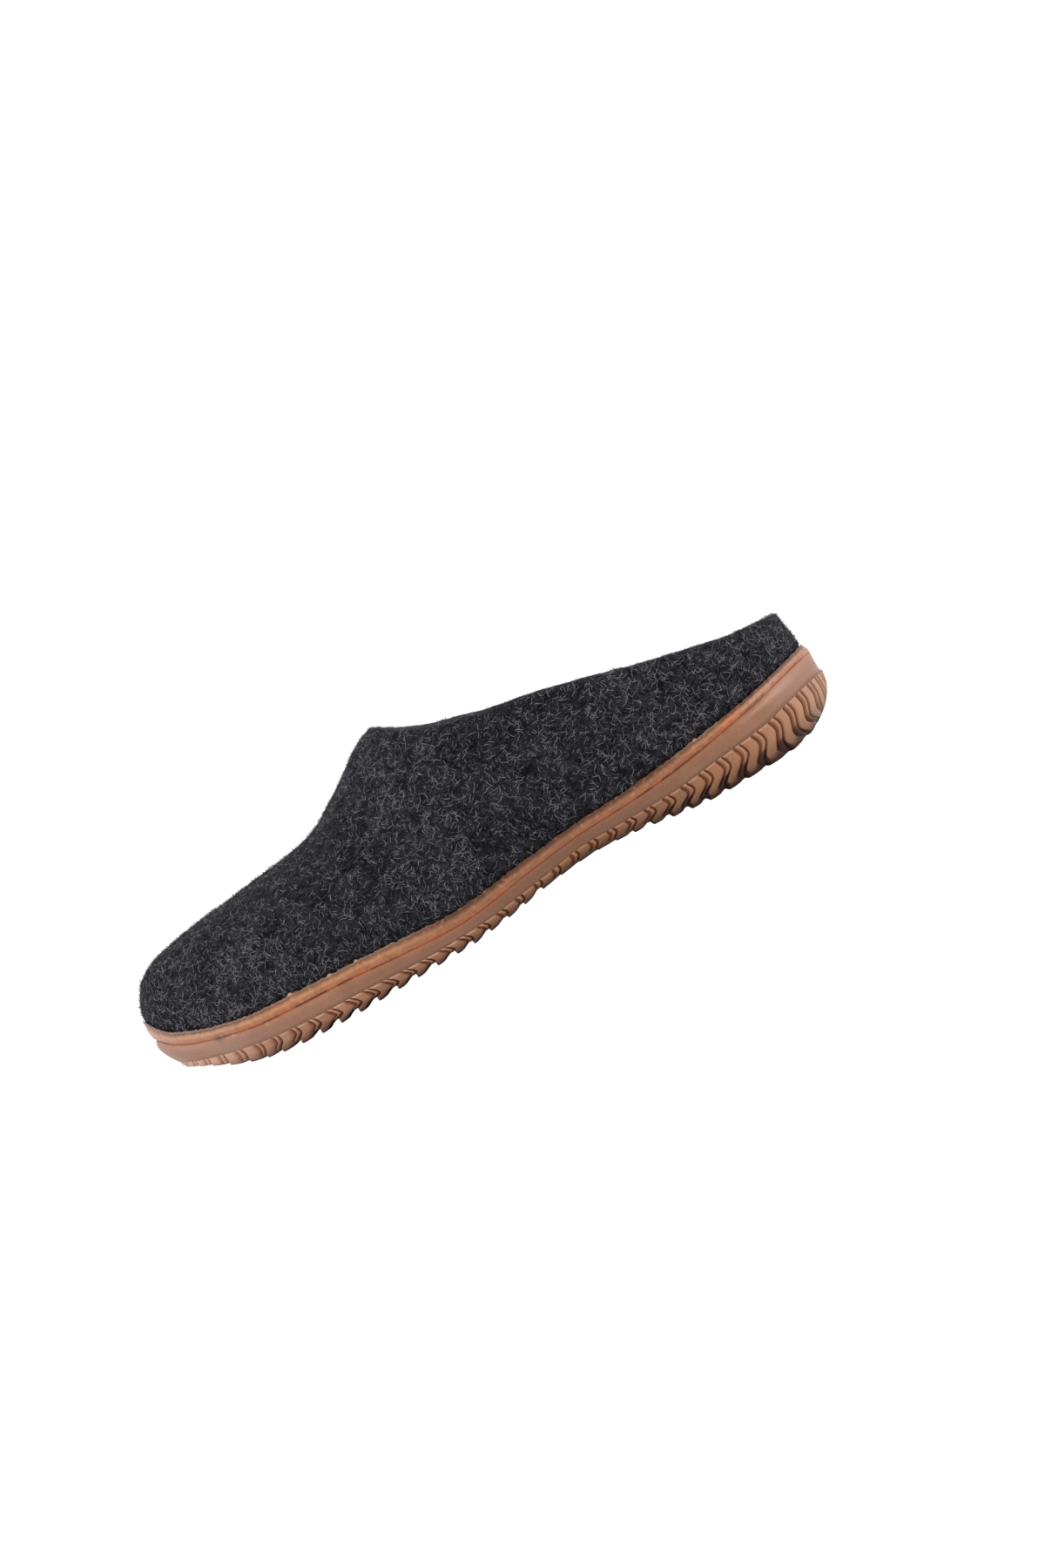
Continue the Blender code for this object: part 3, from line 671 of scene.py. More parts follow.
outsole = mesh_piece(
    "outsole_rubber",
    sole_points,
    (tube_faces(grid_ids(sole_points)),),
    sole_rubber,
    {
        "waist": waist,
        "pale_end": pale_ends(sole_station) * (1.0 - 0.9 * on_lugs * rear),
        "painted_low_shade": painted_low_shade * blend(1.0, 0.55, ramp(sole_station, *LOW_SHADE_FADES)),
        "painted_corner_shade": painted_corner_shade * blend(0.45, 1.0, ramp(sole_station, *CORNER_SHADE_STARTS)),
        "painted_gleam": painted_gleam,
        "seam": on_seam * seam_stain(sole_station),
        "dash": on_seam * seam_dashes(sole_points),
        "smudge": smudge,
        "wear_and_highlight": np.maximum(wear_and_highlight, glints),
        "orange_wear_and_highlight": orange_wear_and_highlight,
        "groove": groove * blend(1.0, 1.4, mid_waist) * blend(1.0, 0.55, ramp(sole_station, *GROOVE_SHADE_FADES)),
        # Painted shade under the tread and low on the lugs
        "tread": round_sole(on_tread=1.0) + shade_low_on_lugs * blend(blend(1.0, 1.3, fore), 2.0, mid_waist),
        # Painted shade at the lugs' feet
        "foot": np.maximum(shade_at_foot, shade_line_at_foot),
    },
)
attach(outsole, "root")
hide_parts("outsole")

# Upper: wool felted in one piece on the last, 4.5 mm thick, cut open at the collar and left soft at
# the cut. Its lower edge is tucked behind the rand, and it swells out just above it.
FELT_THICKNESS = 4.5
GAP = 0.3
TUCK_INSET = 3.5
SWELL_INSET = 0.4
SWELL_HEIGHT = 8.0
HEEL_SWELL_HEIGHT = 6.0
HEEL_LEAN_SLOPE = 0.13
HEEL_LEAN_START = 3.0
HEEL_LEAN_REACH = 40.0
HEEL_DRAW_IN = 0.2
COLLAR_ROUND = 0.9
COLLAR_ROUND_ROWS = 7
THROAT_STATION = 130.2 - COLLAR_ROUND
ROWS_TO_THROAT = 130
ROWS_TO_HEEL = 120
TUCK_COLUMNS = 6
ARCH_COLUMNS = 72
SMOOTH_COLUMNS = 4
crest = station_curves(
    ("height", "power"),
    (
        (0.0, 41.2, 2.25),
        (3.0, 47.8, 2.3),
        (7.0, 52.9, 2.35),
        (15.0, 56.8, 2.4),
        (30.0, 59.9, 2.4),
        (55.0, 62.4, 2.35),
        (80.0, 65.1, 2.25),
        (92.0, 68.4, 2.2),
        (105.0, 75.3, 2.1),
        (120.0, 85.6, 2.0),
        (125.5, 88.4, 2.0),
        (129.3, 89.7, 2.0),
        (145.0, 97.5, 2.0),
        (170.0, 111.0, 2.05),
        (205.0, 123.0, 2.1),
        (285.0, 130.0, 2.2),
    ),
)
COLLAR = (
    (131.2, 89.8),
    (134.0, 87.8),
    (141.0, 83.9),
    (150.0, 79.9),
    (165.0, 75.3),
    (185.0, 70.6),
    (205.0, 65.3),
    (225.0, 59.4),
    (245.0, 54.4),
    (262.0, 50.6),
    (276.0, 49.2),
    (285.0, 48.4),
)
throat_row = (THROAT_STATION, float(crest["height"](THROAT_STATION)))
collar_rows = [(station, height - COLLAR_ROUND) for station, height in COLLAR]
collar_edge = station_curves(("height",), (throat_row, *collar_rows))["height"]

# Soft troughs and ridges that wearing and felting left: station and height of the middle, half
# length along the slipper and half height, and how far the felt stands out there. Then its uneven face:
# how far it stands out, about how far apart, and a seed.
CREASES = (
    (90.0, 66.0, 6.0, 16.0, -0.9),
    (104.0, 70.0, 7.0, 16.0, 0.5),
    (128.0, 66.0, 16.0, 12.0, 0.5),
    (152.0, 60.0, 9.0, 16.0, -0.5),
    (196.0, 54.0, 12.0, 12.0, 0.45),
    (226.0, 46.0, 10.0, 10.0, -0.45),
    (38.0, 44.0, 14.0, 12.0, 0.4),
    (62.0, 34.0, 12.0, 10.0, -0.4),
)
FELT_WAVES = ((0.35, 27.0, 3), (0.16, 11.0, 4))
FELT_LUMPS = (0.12, 4.5, 5)
UNEVEN_ON_TOP = 0.3
UNEVEN_FROM_FACING = 0.6


def felt_inset(height, along):
    """How far the felt lies inside the outline at a height above its lower edge."""
    heel = ramp(LENGTH - along, HEEL_LEAN_REACH, 0.0)
    swollen = smooth_step(height / blend(SWELL_HEIGHT, HEEL_SWELL_HEIGHT, heel))
    swell = blend(TUCK_INSET, SWELL_INSET + HEEL_DRAW_IN * heel, swollen)
    return swell + HEEL_LEAN_SLOPE * heel * np.clip(height - HEEL_LEAN_START, 0.0, None)


def felt_base(share):
    """Height of the lower edge of the felt, just above the seat of the sole."""
    return sole["seam"](plan_point(OUTER_SIDE, share, TUCK_INSET)[0]) + GAP


def tucked_height(share):
    """Height of felt that the rand covers."""
    return sole["rand_top"](share * LENGTH) - felt_base(share)


def felt_point(side, share, angle):
    """Point of the felt's outer face on the arch of one section, as station, Y and height."""
    along = share * LENGTH
    base = felt_base(share)
    flatten = 2.0 / crest["power"](along)
    height = (crest["height"](along) - base) * np.sin(angle) ** flatten
    station, y = plan_point(side, share, felt_inset(height, along))
    top = plan["crest"](along)
    return station, top + (y - top) * np.clip(np.cos(angle), 0.0, None) ** flatten, base + height


def point_normals(points, faces):
    """Mean outward direction of the quads round each point."""
    corners = points[faces]
    facing = np.cross(corners[:, 2] - corners[:, 0], corners[:, 3] - corners[:, 1])
    total = np.zeros_like(points)
    for corner in range(4):
        np.add.at(total, faces[:, corner], facing)
    return unit(total)


to_throat = THROAT_STATION * (1.0 - np.cos(np.linspace(0.0, math.pi / 2.0, ROWS_TO_THROAT + 1)[:-1]))
to_heel = (1.0 - np.cos(np.linspace(0.0, math.pi, ROWS_TO_HEEL + 1))) / 2.0
to_heel = blend(THROAT_STATION, LENGTH, to_heel)
felt_share = np.concatenate((to_throat, to_heel))[:, None] / LENGTH
felt_along = felt_share * LENGTH
full_height = crest["height"](felt_along) - felt_base(felt_share)
squareness = crest["power"](felt_along) / 2.0
tucked_rows = tucked_height(felt_share) * np.linspace(0.0, 1.0, TUCK_COLUMNS + 1)
tuck_angle = np.arcsin((tucked_rows / full_height) ** squareness)
edge_share = (collar_edge(felt_along) - felt_base(felt_share)) / full_height
top_angle = np.where(
    felt_along > THROAT_STATION, np.arcsin(np.clip(edge_share, 0.0, 1.0) ** squareness), math.pi / 2.0
)
arch_angle = blend(tuck_angle[:, -1:], top_angle, np.linspace(0.0, 1.0, ARCH_COLUMNS + 1)[1:])
felt_angle = np.concatenate((tuck_angle, arch_angle), axis=1)
felt_grid = np.stack([place(*felt_point(side, felt_share, felt_angle)) for side in SIDES])

# The two sides share the lines at the toe and the heel, and the crest as far as the throat
felt_ids = grid_ids(felt_grid)
felt_ids[1, 0] = felt_ids[0, 0]
felt_ids[1, -1] = felt_ids[0, -1]
felt_ids[1, : ROWS_TO_THROAT + 1, -1] = felt_ids[0, : ROWS_TO_THROAT + 1, -1]
outer_faces = np.concatenate((grid_faces(felt_ids[0])[:, ::-1], grid_faces(felt_ids[1])))
felt_points = felt_grid.reshape(-1, 3)
felt_normals = point_normals(felt_points, outer_faces)
felt_station = station_of(felt_points)
felt_height = felt_points[:, 2] / MM
stand_out = sum(depth * wave_noise(felt_points, size, seed) for depth, size, seed in FELT_WAVES)
for station, height, half_length, half_height, depth in CREASES:
    away = ((felt_station - station) / half_length) ** 2 + ((felt_height - height) / half_height) ** 2
    stand_out += depth * np.exp(-away)
stand_out *= blend(UNEVEN_ON_TOP, 1.0, smooth_step(np.abs(felt_normals[:, 1]) / UNEVEN_FROM_FACING))
stand_out += FELT_LUMPS[0] * wave_noise(felt_points, *FELT_LUMPS[1:])
felt_rows = felt_grid[..., 0, 0].size
free_columns = (TUCK_COLUMNS + SMOOTH_COLUMNS, ARCH_COLUMNS + 1 - SMOOTH_COLUMNS)
above_rand = np.tile(np.repeat((0.0, 1.0), free_columns), felt_rows)
felt_points = felt_points + felt_normals * (stand_out * above_rand)[:, None] * MM
felt_normals = point_normals(felt_points, outer_faces)
lining_points = felt_points - felt_normals * FELT_THICKNESS * MM
lining_faces = outer_faces[:, ::-1] + len(felt_points)

# Cut edge of the collar from the throat round the heel and back, rounded over the felt's thickness
collar_ids = np.concatenate((felt_ids[0, ROWS_TO_THROAT:, -1], felt_ids[1, -2:ROWS_TO_THROAT:-1, -1]))
collar_line = felt_points[collar_ids]
collar_way = np.roll(collar_line, -1, axis=0) - np.roll(collar_line, 1, axis=0)
collar_up = unit(np.cross(collar_way, felt_normals[collar_ids]))
collar_up *= np.sign(collar_up[len(collar_up) // 4, 2])
over = np.linspace(0.0, 1.0, COLLAR_ROUND_ROWS + 2)[1:-1][:, None, None]
collar_bulge = COLLAR_ROUND * (1.0 - (2.0 * over - 1.0) ** 4) * MM
collar_points = blend(collar_line, lining_points[collar_ids], over) + collar_up * collar_bulge
collar_grid = grid_ids(collar_points) + 2 * len(felt_points)
collar_grid = np.concatenate((collar_ids[None], collar_grid, collar_ids[None] + len(felt_points)))
collar_faces = tube_faces(collar_grid)
base_ids = np.concatenate((felt_ids[0, :, 0], felt_ids[1, -2:0:-1, 0], felt_ids[0, :1, 0]))
base_faces = grid_faces(np.stack((base_ids, base_ids + len(felt_points))))

# Wool felt, wet felted and dried on the last: dull charcoal with paler clouds, crossed by fine curly
# lines of lighter wool. Real fibres are 0.03 mm thick, so they are drawn coarser to show. Its fibres
# shade each other, so little of their gloss is left.
FELT_CLOUD_SIZE = 11.0
FELT_FLECK_SIZE = 3.0
FELT_FUZZ_SIZE = 0.6
FELT_CURL_SIZES = (2.2, 1.5)
FELT_CURL_WIDTH = 0.05
FELT_PILE_DEPTH = 0.3
FELT_IOR = 1.45
FELT_ROUGHNESS = 0.95
wool_felt, tree, shader = new_surface("wool_felt_wet_felted")
coords = add_node(tree, "ShaderNodeTexCoord", {}, "Object")
clouds, flecks, fuzz = [
    add_node(tree, "ShaderNodeTexNoise", {"Vector": coords, "Scale": per_metre(size), "Detail": detail})
    for size, detail in ((FELT_CLOUD_SIZE, 3.0), (FELT_FLECK_SIZE, 4.0), (FELT_FUZZ_SIZE, 4.0))
]
cloud_share, fleck_share, fuzz_share = [
    add_node(tree, "ShaderNodeMapRange", dict(zip(MAP_RANGE, values)))
    for values in (
        (clouds, 0.35, 0.65, 0.0, 1.0),
        (flecks, 0.38, 0.66, 0.0, 1.0),
        (fuzz, 0.36, 0.64, 0.35, 1.6),
    )
]
inputs = {SHARE: cloud_share, UNDER: linear("#0C0B0E"), OVER: linear("#131216")}
colour = add_node(tree, "ShaderNodeMix", inputs, **COLOUR_MIX)
pale_share = add_node(tree, "ShaderNodeMath", {0: cloud_share, 1: fleck_share}, operation="MULTIPLY")
inputs = {SHARE: pale_share, UNDER: colour, OVER: linear("#242328")}
colour = add_node(tree, "ShaderNodeMix", inputs, **COLOUR_MIX)
pile = fuzz
for size in FELT_CURL_SIZES:
    inputs = {"Vector": coords, "Scale": per_metre(size), "Detail": 1.0, "Distortion": 0.8}
    curl = add_node(tree, "ShaderNodeTexNoise", inputs)
    curl = add_node(tree, "ShaderNodeMath", {0: curl, 1: 0.5}, operation="SUBTRACT")
    curl = add_node(tree, "ShaderNodeMath", {0: curl}, operation="ABSOLUTE")
    inputs = dict(zip(MAP_RANGE, (curl, 0.0, FELT_CURL_WIDTH, 1.0, 0.0)))
    curl = add_node(tree, "ShaderNodeMapRange", inputs)
    pale_curl = add_node(tree, "ShaderNodeMath", {0: curl, 1: fleck_share}, operation="MULTIPLY")
    inputs = {SHARE: pale_curl, UNDER: colour, OVER: linear("#302F34")}
    colour = add_node(tree, "ShaderNodeMix", inputs, **COLOUR_MIX)
    pile = add_node(tree, "ShaderNodeMath", {0: pile, 1: curl}, operation="ADD")
inputs = {SHARE: 1.0, UNDER: colour, OVER: fuzz_share}
colour = add_node(tree, "ShaderNodeMix", inputs, blend_type="MULTIPLY", **COLOUR_MIX)
# Painted shade where the felt tucks in at the rand's lip, and a painted highlight along the collar's cut edge
colour = lay_tints(tree, colour, (("painted_tuck_shade", 1.0, "#0E0D0F"), ("painted_cut_edge_highlight", 0.75, "#4A494F")))
inputs = {"Height": pile, "Strength": 0.7, "Distance": FELT_PILE_DEPTH * MM}
bump = add_node(tree, "ShaderNodeBump", inputs, "Normal")
set_inputs(tree, shader, {"Base Color": colour, "Normal": bump, "Roughness": FELT_ROUGHNESS})
set_inputs(tree, shader, {"IOR": FELT_IOR, "Specular IOR Level": 0.08})

# How thick the nap stands: full on the outside and the cut edge, thin inside, none behind the rand and
# little just above it, where the felt is also darker: painted shade where it tucks in under the lip
LINING_NAP = 0.3
TUCK_SHADE = 0.5
TUCK_SHADE_HEIGHT = 2.2
CUT_EDGE_COLUMNS = (0.35, 0.7, 1.0)
CUT_EDGE_FADES = (140.0, 185.0)
CUT_EDGE_LEFT = 0.2
above_lip = felt_height - np.repeat(np.tile(sole["rand_top"](felt_along[:, 0]), 2), felt_grid.shape[2])
tuck_shade = TUCK_SHADE * ramp(above_lip, TUCK_SHADE_HEIGHT, 0.0)
behind_rand = np.tile(np.repeat((0.0, 1.0), (TUCK_COLUMNS, ARCH_COLUMNS + 1)), felt_rows)
outer_nap = behind_rand * (1.0 - tuck_shade)
no_collar = np.zeros(collar_points[..., 0].size)
# Painted highlight along the collar's cut edge, where it catches the light, weaker towards the heel
painted_cut_edge_highlight = np.zeros(felt_grid.shape[:3])
painted_cut_edge_highlight[:, ROWS_TO_THROAT:, -len(CUT_EDGE_COLUMNS) :] = CUT_EDGE_COLUMNS
painted_cut_edge_highlight = painted_cut_edge_highlight.ravel() * blend(1.0, CUT_EDGE_LEFT, ramp(felt_station, *CUT_EDGE_FADES))
upper = mesh_piece(
    "upper_felt",
    np.concatenate((felt_points, lining_points, collar_points.reshape(-1, 3))),
    (outer_faces, lining_faces, collar_faces, base_faces),
    wool_felt,
    {
        "nap": np.concatenate((outer_nap, LINING_NAP * behind_rand, no_collar + 1.0)),
        "painted_tuck_shade": np.concatenate((tuck_shade, 0.0 * tuck_shade, no_collar)),
        "painted_cut_edge_highlight": np.concatenate((painted_cut_edge_highlight, painted_cut_edge_highlight, no_collar + 1.0)),
    },
)
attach(upper, "root")
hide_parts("upper")

# Nap: loose ends of wool that stand in the face of the felt, curled and mostly lying flat, with a few
# standing off at the outline. Real fibres are 0.03 mm thick and are drawn about 0.15 mm wide to show.
NAP_REST = 0.12
NAP_CLOUD_SIZE = 14.0
NAP_TUFT_SIZE = 6.0
NAP_TOP_SHADE = 0.15
NAP_CLOUD_LIMITS = (0.12, 2.4)
NAP_LENGTH_VARIES = (0.7, 1.0)
NAP_WIDTH_VARIES = (0.7, 1.3)
NAP_REST_VARIES = (0.4, 1.6)
NAP_KINK = 0.2
NAP_LIFT = 0.25
NAP_STANDING_SHARE = 0.2
NAP_STANDING_LIFT = 0.7
NAP_POINT_POWER = 0.35

# Kind of fibre, colour, number, seed, width, shortest and longest length, usual turn from end to end in
# radians, segments, and how far the clouds thin or thicken it
NAP_KINDS = (
    ("grey", "#222125", 44000, 11, 0.18, (0.7, 2.0), 0.6, 3, 0.26),
    ("light", "#424146", 31000, 12, 0.15, (0.9, 2.4), 0.5, 4, 0.28),
    ("pale", "#727177", 13500, 13, 0.125, (1.2, 4.4), 0.5, 5, 0.36),
)

# How thick the nap lies at each station along the slipper
nap_share = station_curves(
    ("pale",),
    (
        (0.0, 0.8),
        (20.0, 1.05),
        (45.0, 1.3),
        (62.0, 0.95),
        (80.0, 0.7),
        (95.0, 0.7),
        (115.0, 0.85),
        (130.0, 1.1),
        (142.0, 0.68),
        (165.0, 0.6),
        (200.0, 0.72),
        (225.0, 0.88),
        (250.0, 1.0),
        (278.0, 1.12),
        (285.0, 0.75),
    ),
)["pale"]


def nap_places(mesh, count, patchiness, rng):
    """Random points on a mesh with their normals, thicker where its nap value and the clouds are high."""
    mesh.calc_loop_triangles()
    corners = np.empty(3 * len(mesh.loop_triangles), np.int32)
    mesh.loop_triangles.foreach_get("vertices", corners)
    corners = corners.reshape(-1, 3)
    points, normals = [np.empty((len(mesh.vertices), 3), np.float32) for _ in range(2)]
    mesh.vertices.foreach_get("co", points.ravel())
    mesh.vertices.foreach_get("normal", normals.ravel())
    nap = np.empty(len(mesh.vertices), np.float32)
    mesh.attributes["nap"].data.foreach_get("value", nap)
    a, b, c = [points[corners[:, i]] for i in range(3)]
    middle = (a + b + c) / 3.0
    clouds = wave_noise(middle, NAP_CLOUD_SIZE, seed=21) + wave_noise(middle, NAP_TUFT_SIZE, seed=22)
    weight = np.linalg.norm(np.cross(b - a, c - a), axis=1) * nap[corners].min(axis=1)
    weight = weight * np.clip(1.0 + patchiness * clouds, *NAP_CLOUD_LIMITS)
    # Fewer fibres on faces that look up: painted shade along the top of the felt
    weight = weight * (1.0 - NAP_TOP_SHADE * np.clip(normals[corners[:, 0], 2], 0.0, 1.0))
    weight = weight * nap_share(station_of(middle))
    chosen = corners[rng.choice(len(corners), count, p=weight / weight.sum())]
    shares = rng.dirichlet((1.0, 1.0, 1.0), count)[..., None]
    return (points[chosen] * shares).sum(axis=1), unit((normals[chosen] * shares).sum(axis=1))


def nap_fibres(places, normals, lengths, width, turn, segments, rng):
    """Points and faces of flat curled fibres, pointed at both ends, that lie along the felt."""
    count = len(places)
    first_way = unit(np.cross(normals, rng.normal(size=(count, 3))))
    second_way = np.cross(normals, first_way)
    length = rng.uniform(*lengths, count)[:, None] * rng.uniform(*NAP_LENGTH_VARIES, (count, 1))
    bend = rng.normal(0.0, turn, (count, 1)) / segments
    bend = bend + rng.normal(0.0, NAP_KINK, (count, segments))
    heading = np.cumsum(bend, axis=1)
    steps = np.stack((np.cos(heading), np.sin(heading)), axis=-1) * (length / segments)[..., None]
    path = np.concatenate((np.zeros((count, 1, 2)), np.cumsum(steps, axis=1)), axis=1)
    path -= path.mean(axis=1, keepdims=True)
    lift = np.abs(rng.normal(0.0, NAP_LIFT, (count, 1)))
    lift = lift + (rng.random((count, 1)) < NAP_STANDING_SHARE) * NAP_STANDING_LIFT
    along = np.linspace(0.0, 1.0, segments + 1)
    height = NAP_REST * rng.uniform(*NAP_REST_VARIES, (count, 1)) + lift * along**2
    facing = np.concatenate((heading[:, :1], heading), axis=1)
    side = np.stack((-np.sin(facing), np.cos(facing)), axis=-1)
    taper = np.sin(math.pi * along) ** NAP_POINT_POWER
    half = taper[:, None] * (width / 2.0) * rng.uniform(*NAP_WIDTH_VARIES, (count, 1, 1))

    def in_space(flat):
        spread = flat[..., :1] * first_way[:, None] + flat[..., 1:] * second_way[:, None]
        return places[:, None] + (spread + height[..., None] * normals[:, None]) * MM

    left, right = in_space(path - side * half), in_space(path + side * half)
    points = np.concatenate((left, right[:, 1:-1]), axis=1)
    first = np.arange(count)[:, None] * points.shape[1]
    right_ids = np.arange(1, segments) + segments
    ends = np.array(((0, 1, right_ids[0]), (segments - 1, segments, right_ids[-1])))
    sides = np.array([(i, i + 1, right_ids[i], right_ids[i - 1]) for i in range(1, segments - 1)])
    return points, [(first[:, None] + group).reshape(-1, group.shape[1]) for group in (ends, sides)]


for kind, tint, count, seed, width, lengths, turn, segments, patchiness in NAP_KINDS:
    # Combed wool: matt fibres, shaded by their neighbours
    wool, tree, shader = new_surface(f"wool_fibre_{kind}")
    set_inputs(tree, shader, {"Base Color": linear(tint), "Roughness": 0.85})
    set_inputs(tree, shader, {"IOR": 1.55, "Specular IOR Level": 0.15})
    rng = np.random.default_rng(seed)
    places, normals = nap_places(upper.data, count, patchiness, rng)
    points, faces = nap_fibres(places, normals, lengths, width, turn, segments, rng)
    nap = mesh_piece(f"upper_nap_{kind}", points, faces, wool, weld=False)
    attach(nap, "root")

# Rand: a strip of the same rubber in a warmer orange, cemented round the felt above the seam. It is
# rounded outwards and ends in a thin, roughly trimmed lip that felt fibres have rubbed grey.
RAND_FOOT_THICKNESS = 2.7
RAND_LIP_THICKNESS = 1.0
RAND_TOE_THIN = 0.35
RAND_TOE_OUT = 0.6
RAND_COLUMNS = 460
RAND_TIP_BULGE = 0.6
RAND_LIP_RAGGED = 0.16
RAND_LIP_WAVES = ((3.0, 31), (1.6, 32))

# Section of the strip from its foot up: share of its height, and how far it stands out
RAND_SECTION = (
    (0.0, -0.12),
    (0.03, 0.02),
    (0.08, 0.14),
    (0.15, 0.28),
    (0.24, 0.45),
    (0.33, 0.6),
    (0.42, 0.68),
    (0.5, 0.66),
    (0.58, 0.5),
    (0.65, 0.28),
    (0.72, 0.08),
    (0.79, -0.02),
    (0.86, 0.02),
    (0.92, 0.06),
    (0.97, 0.02),
)
RAND_LIP_ROWS = ((0.0, 0.35), (0.25, 0.1), (0.5, 0.0), (0.75, 0.1), (1.0, 0.35))
RAND_INNER_RISES = (0.8, 0.5, 0.25, 0.0)

# Crumbs of rubber left on the lip: station and half width
RAND_CRUMBS = ((52.6, 0.8), (69.0, 0.5), (80.4, 0.5), (231.8, 0.6))
RAND_CRUMB_HEIGHT = 0.6

# The heel end of the strip: a second red line above the seam, with brighter rubber between them, a patch
# of bare orange and a stretch where the lower edge has lifted
HEEL_LINE_STARTS = (240.0, 246.0)
HEEL_LINE_RISE = 0.38
HEEL_LINE_HALF_WIDTH = 0.09
HEEL_PATCH = (246.5, 4.0)
HEEL_PATCH_RISE = (0.45, 0.25)
HEEL_LIFT = (250.0, 263.0)
HEEL_LIFT_HEIGHT = 0.35
HEEL_LIFT_RUN = 3.0
HEEL_LIFT_RISE = 0.3
LIFTED_LINE_RISE = (0.16, 0.1)
LIFTED_EDGE_RISE = (0.36, 0.08)


def rand_side(side):
    """Points round the rand at each section of one side, from the foot over the lip and down the felt."""
    share = outline_arc(side)[0](np.linspace(0.0, 1.0, RAND_COLUMNS))[:, None]
    along = share * LENGTH
    top = sole["rand_top"](along)
    tucked = tucked_height(share)
    lip_place = place(*plan_point(side, share, 0.0), top)
    ragged = RAND_LIP_RAGGED * sum(wave_noise(lip_place, size, seed) for size, seed in RAND_LIP_WAVES)
    crumbs = sum(hump(along, *crumb) for crumb in RAND_CRUMBS) * (side == OUTER_SIDE)
    top = top + ragged + RAND_CRUMB_HEIGHT * crumbs

    def inner_inset(rise):
        return felt_inset(tucked * rise, along) - GAP

    rise, bulge = np.array(RAND_SECTION).T
    lip_thickness = RAND_LIP_THICKNESS - RAND_TOE_THIN * tip_share(along)
    outer = inner_inset(rise) - blend(RAND_FOOT_THICKNESS, lip_thickness, rise) - bulge
    flat_foot = WALL_SEAT_INSET - seat_out(share) - RAND_TOE_OUT * tip_share(along)
    pulled_flat = blend(flat_foot, inner_inset(1.0) - lip_thickness, rise) - RAND_TIP_BULGE * bulge
    outer = blend(outer, pulled_flat, tip_share(along) + tip_share(LENGTH - along))
    lift_start, lift_end = HEEL_LIFT
    lifted = ramp(along, lift_start, lift_start + HEEL_LIFT_RUN)
    lifted = lifted * ramp(along, lift_end, lift_end - HEEL_LIFT_RUN)
    outer = outer - HEEL_LIFT_HEIGHT * lifted * ramp(rise, HEEL_LIFT_RISE, 0.0)
    foot = sole["seam"](plan_point(side, share, outer[:, :1])[0])
    outer_z = blend(foot, top - RAND_LIP_ROWS[0][1], rise)
    over, drop = np.array(RAND_LIP_ROWS).T
    lip = inner_inset(1.0) - lip_thickness * (1.0 - over)
    lip_z = top - drop
    rise = np.array(RAND_INNER_RISES)
    inner = inner_inset(rise)
    inner_foot = sole["seam"](plan_point(side, share, inner)[0])
    inner_z = np.maximum(inner_foot, felt_base(share) + tucked * rise)
    inset = np.concatenate((outer, lip, inner), axis=1)
    return place(*plan_point(side, share, inset), np.concatenate((outer_z, lip_z, inner_z), axis=1)), crumbs


# Orange gum rubber, calendered into a strip: satin, reddish at the seam where the cement squeezed
# out, and rubbed grey along the lip
STRIP_CLOUD_SIZE = 7.0
STRIP_GRAIN_SIZE = 0.6
STRIP_GRAIN_DEPTH = 0.12
STRIP_FLECK_SIZE = 1.7
STRIP_TINTS = (
    ("waist", 0.6, "#774A32"),
    ("pale_end", 0.6, "#84665A"),
    ("heel_pale", 0.5, "#A88474"),
    ("ridge_highlight", 0.3, "#B3825F"),
    ("shade", 0.9, "#42220E"),
    ("lip", 0.6, "#6E5E54"),
    ("heel_band", 0.15, "#B0694A"),
    ("heel_patch", 0.5, "#C9713F"),
    ("seam", 0.85, "#944020"),
    ("dash", 0.9, "#2E140A"),
    ("smudge", 1.0, "#543F3A"),
    ("crumb", 0.9, "#BC9A88"),
)
strip_rubber, tree, shader = new_surface("gum_rubber_strip_calendered")
coords = add_node(tree, "ShaderNodeTexCoord", {}, "Object")
clouds, grain, flecks = [
    add_node(tree, "ShaderNodeTexNoise", {"Vector": coords, "Scale": per_metre(size), "Detail": detail})
    for size, detail in ((STRIP_CLOUD_SIZE, 4.0), (STRIP_GRAIN_SIZE, 3.0), (STRIP_FLECK_SIZE, 3.0))
]
cloud_share, roughness, dark_flecks, bright_flecks = [
    add_node(tree, "ShaderNodeMapRange", dict(zip(MAP_RANGE, values)))
    for values in (
        (clouds, 0.32, 0.68, 0.0, 1.0),
        (clouds, 0.3, 0.7, 0.38, 0.52),
        (flecks, 0.46, 0.3, 0.0, 0.35),
        (flecks, 0.56, 0.72, 0.0, 0.35),
    )
]
inputs = {SHARE: cloud_share, UNDER: linear("#875638"), OVER: linear("#946342")}
colour = add_node(tree, "ShaderNodeMix", inputs, **COLOUR_MIX)
colour = lay_tints(tree, colour, STRIP_TINTS)
for share, tint in ((dark_flecks, "#5E3A24"), (bright_flecks, "#B47C52")):
    inputs = {SHARE: share, UNDER: colour, OVER: linear(tint)}
    colour = add_node(tree, "ShaderNodeMix", inputs, **COLOUR_MIX)
inputs = {"Height": grain, "Strength": 0.25, "Distance": STRIP_GRAIN_DEPTH * MM}
bump = add_node(tree, "ShaderNodeBump", inputs, "Normal")
set_inputs(tree, shader, {"Base Color": colour, "Roughness": roughness, "Normal": bump})
set_inputs(tree, shader, {"IOR": RUBBER_IOR, "Specular IOR Level": RUBBER_GLOSS})

(outer_points, outer_crumb), (inner_points, inner_crumb) = [rand_side(side) for side in SIDES]
rand_points = np.concatenate((outer_points, inner_points[-2:0:-1]))
crumb = np.concatenate((outer_crumb, inner_crumb[-2:0:-1]))


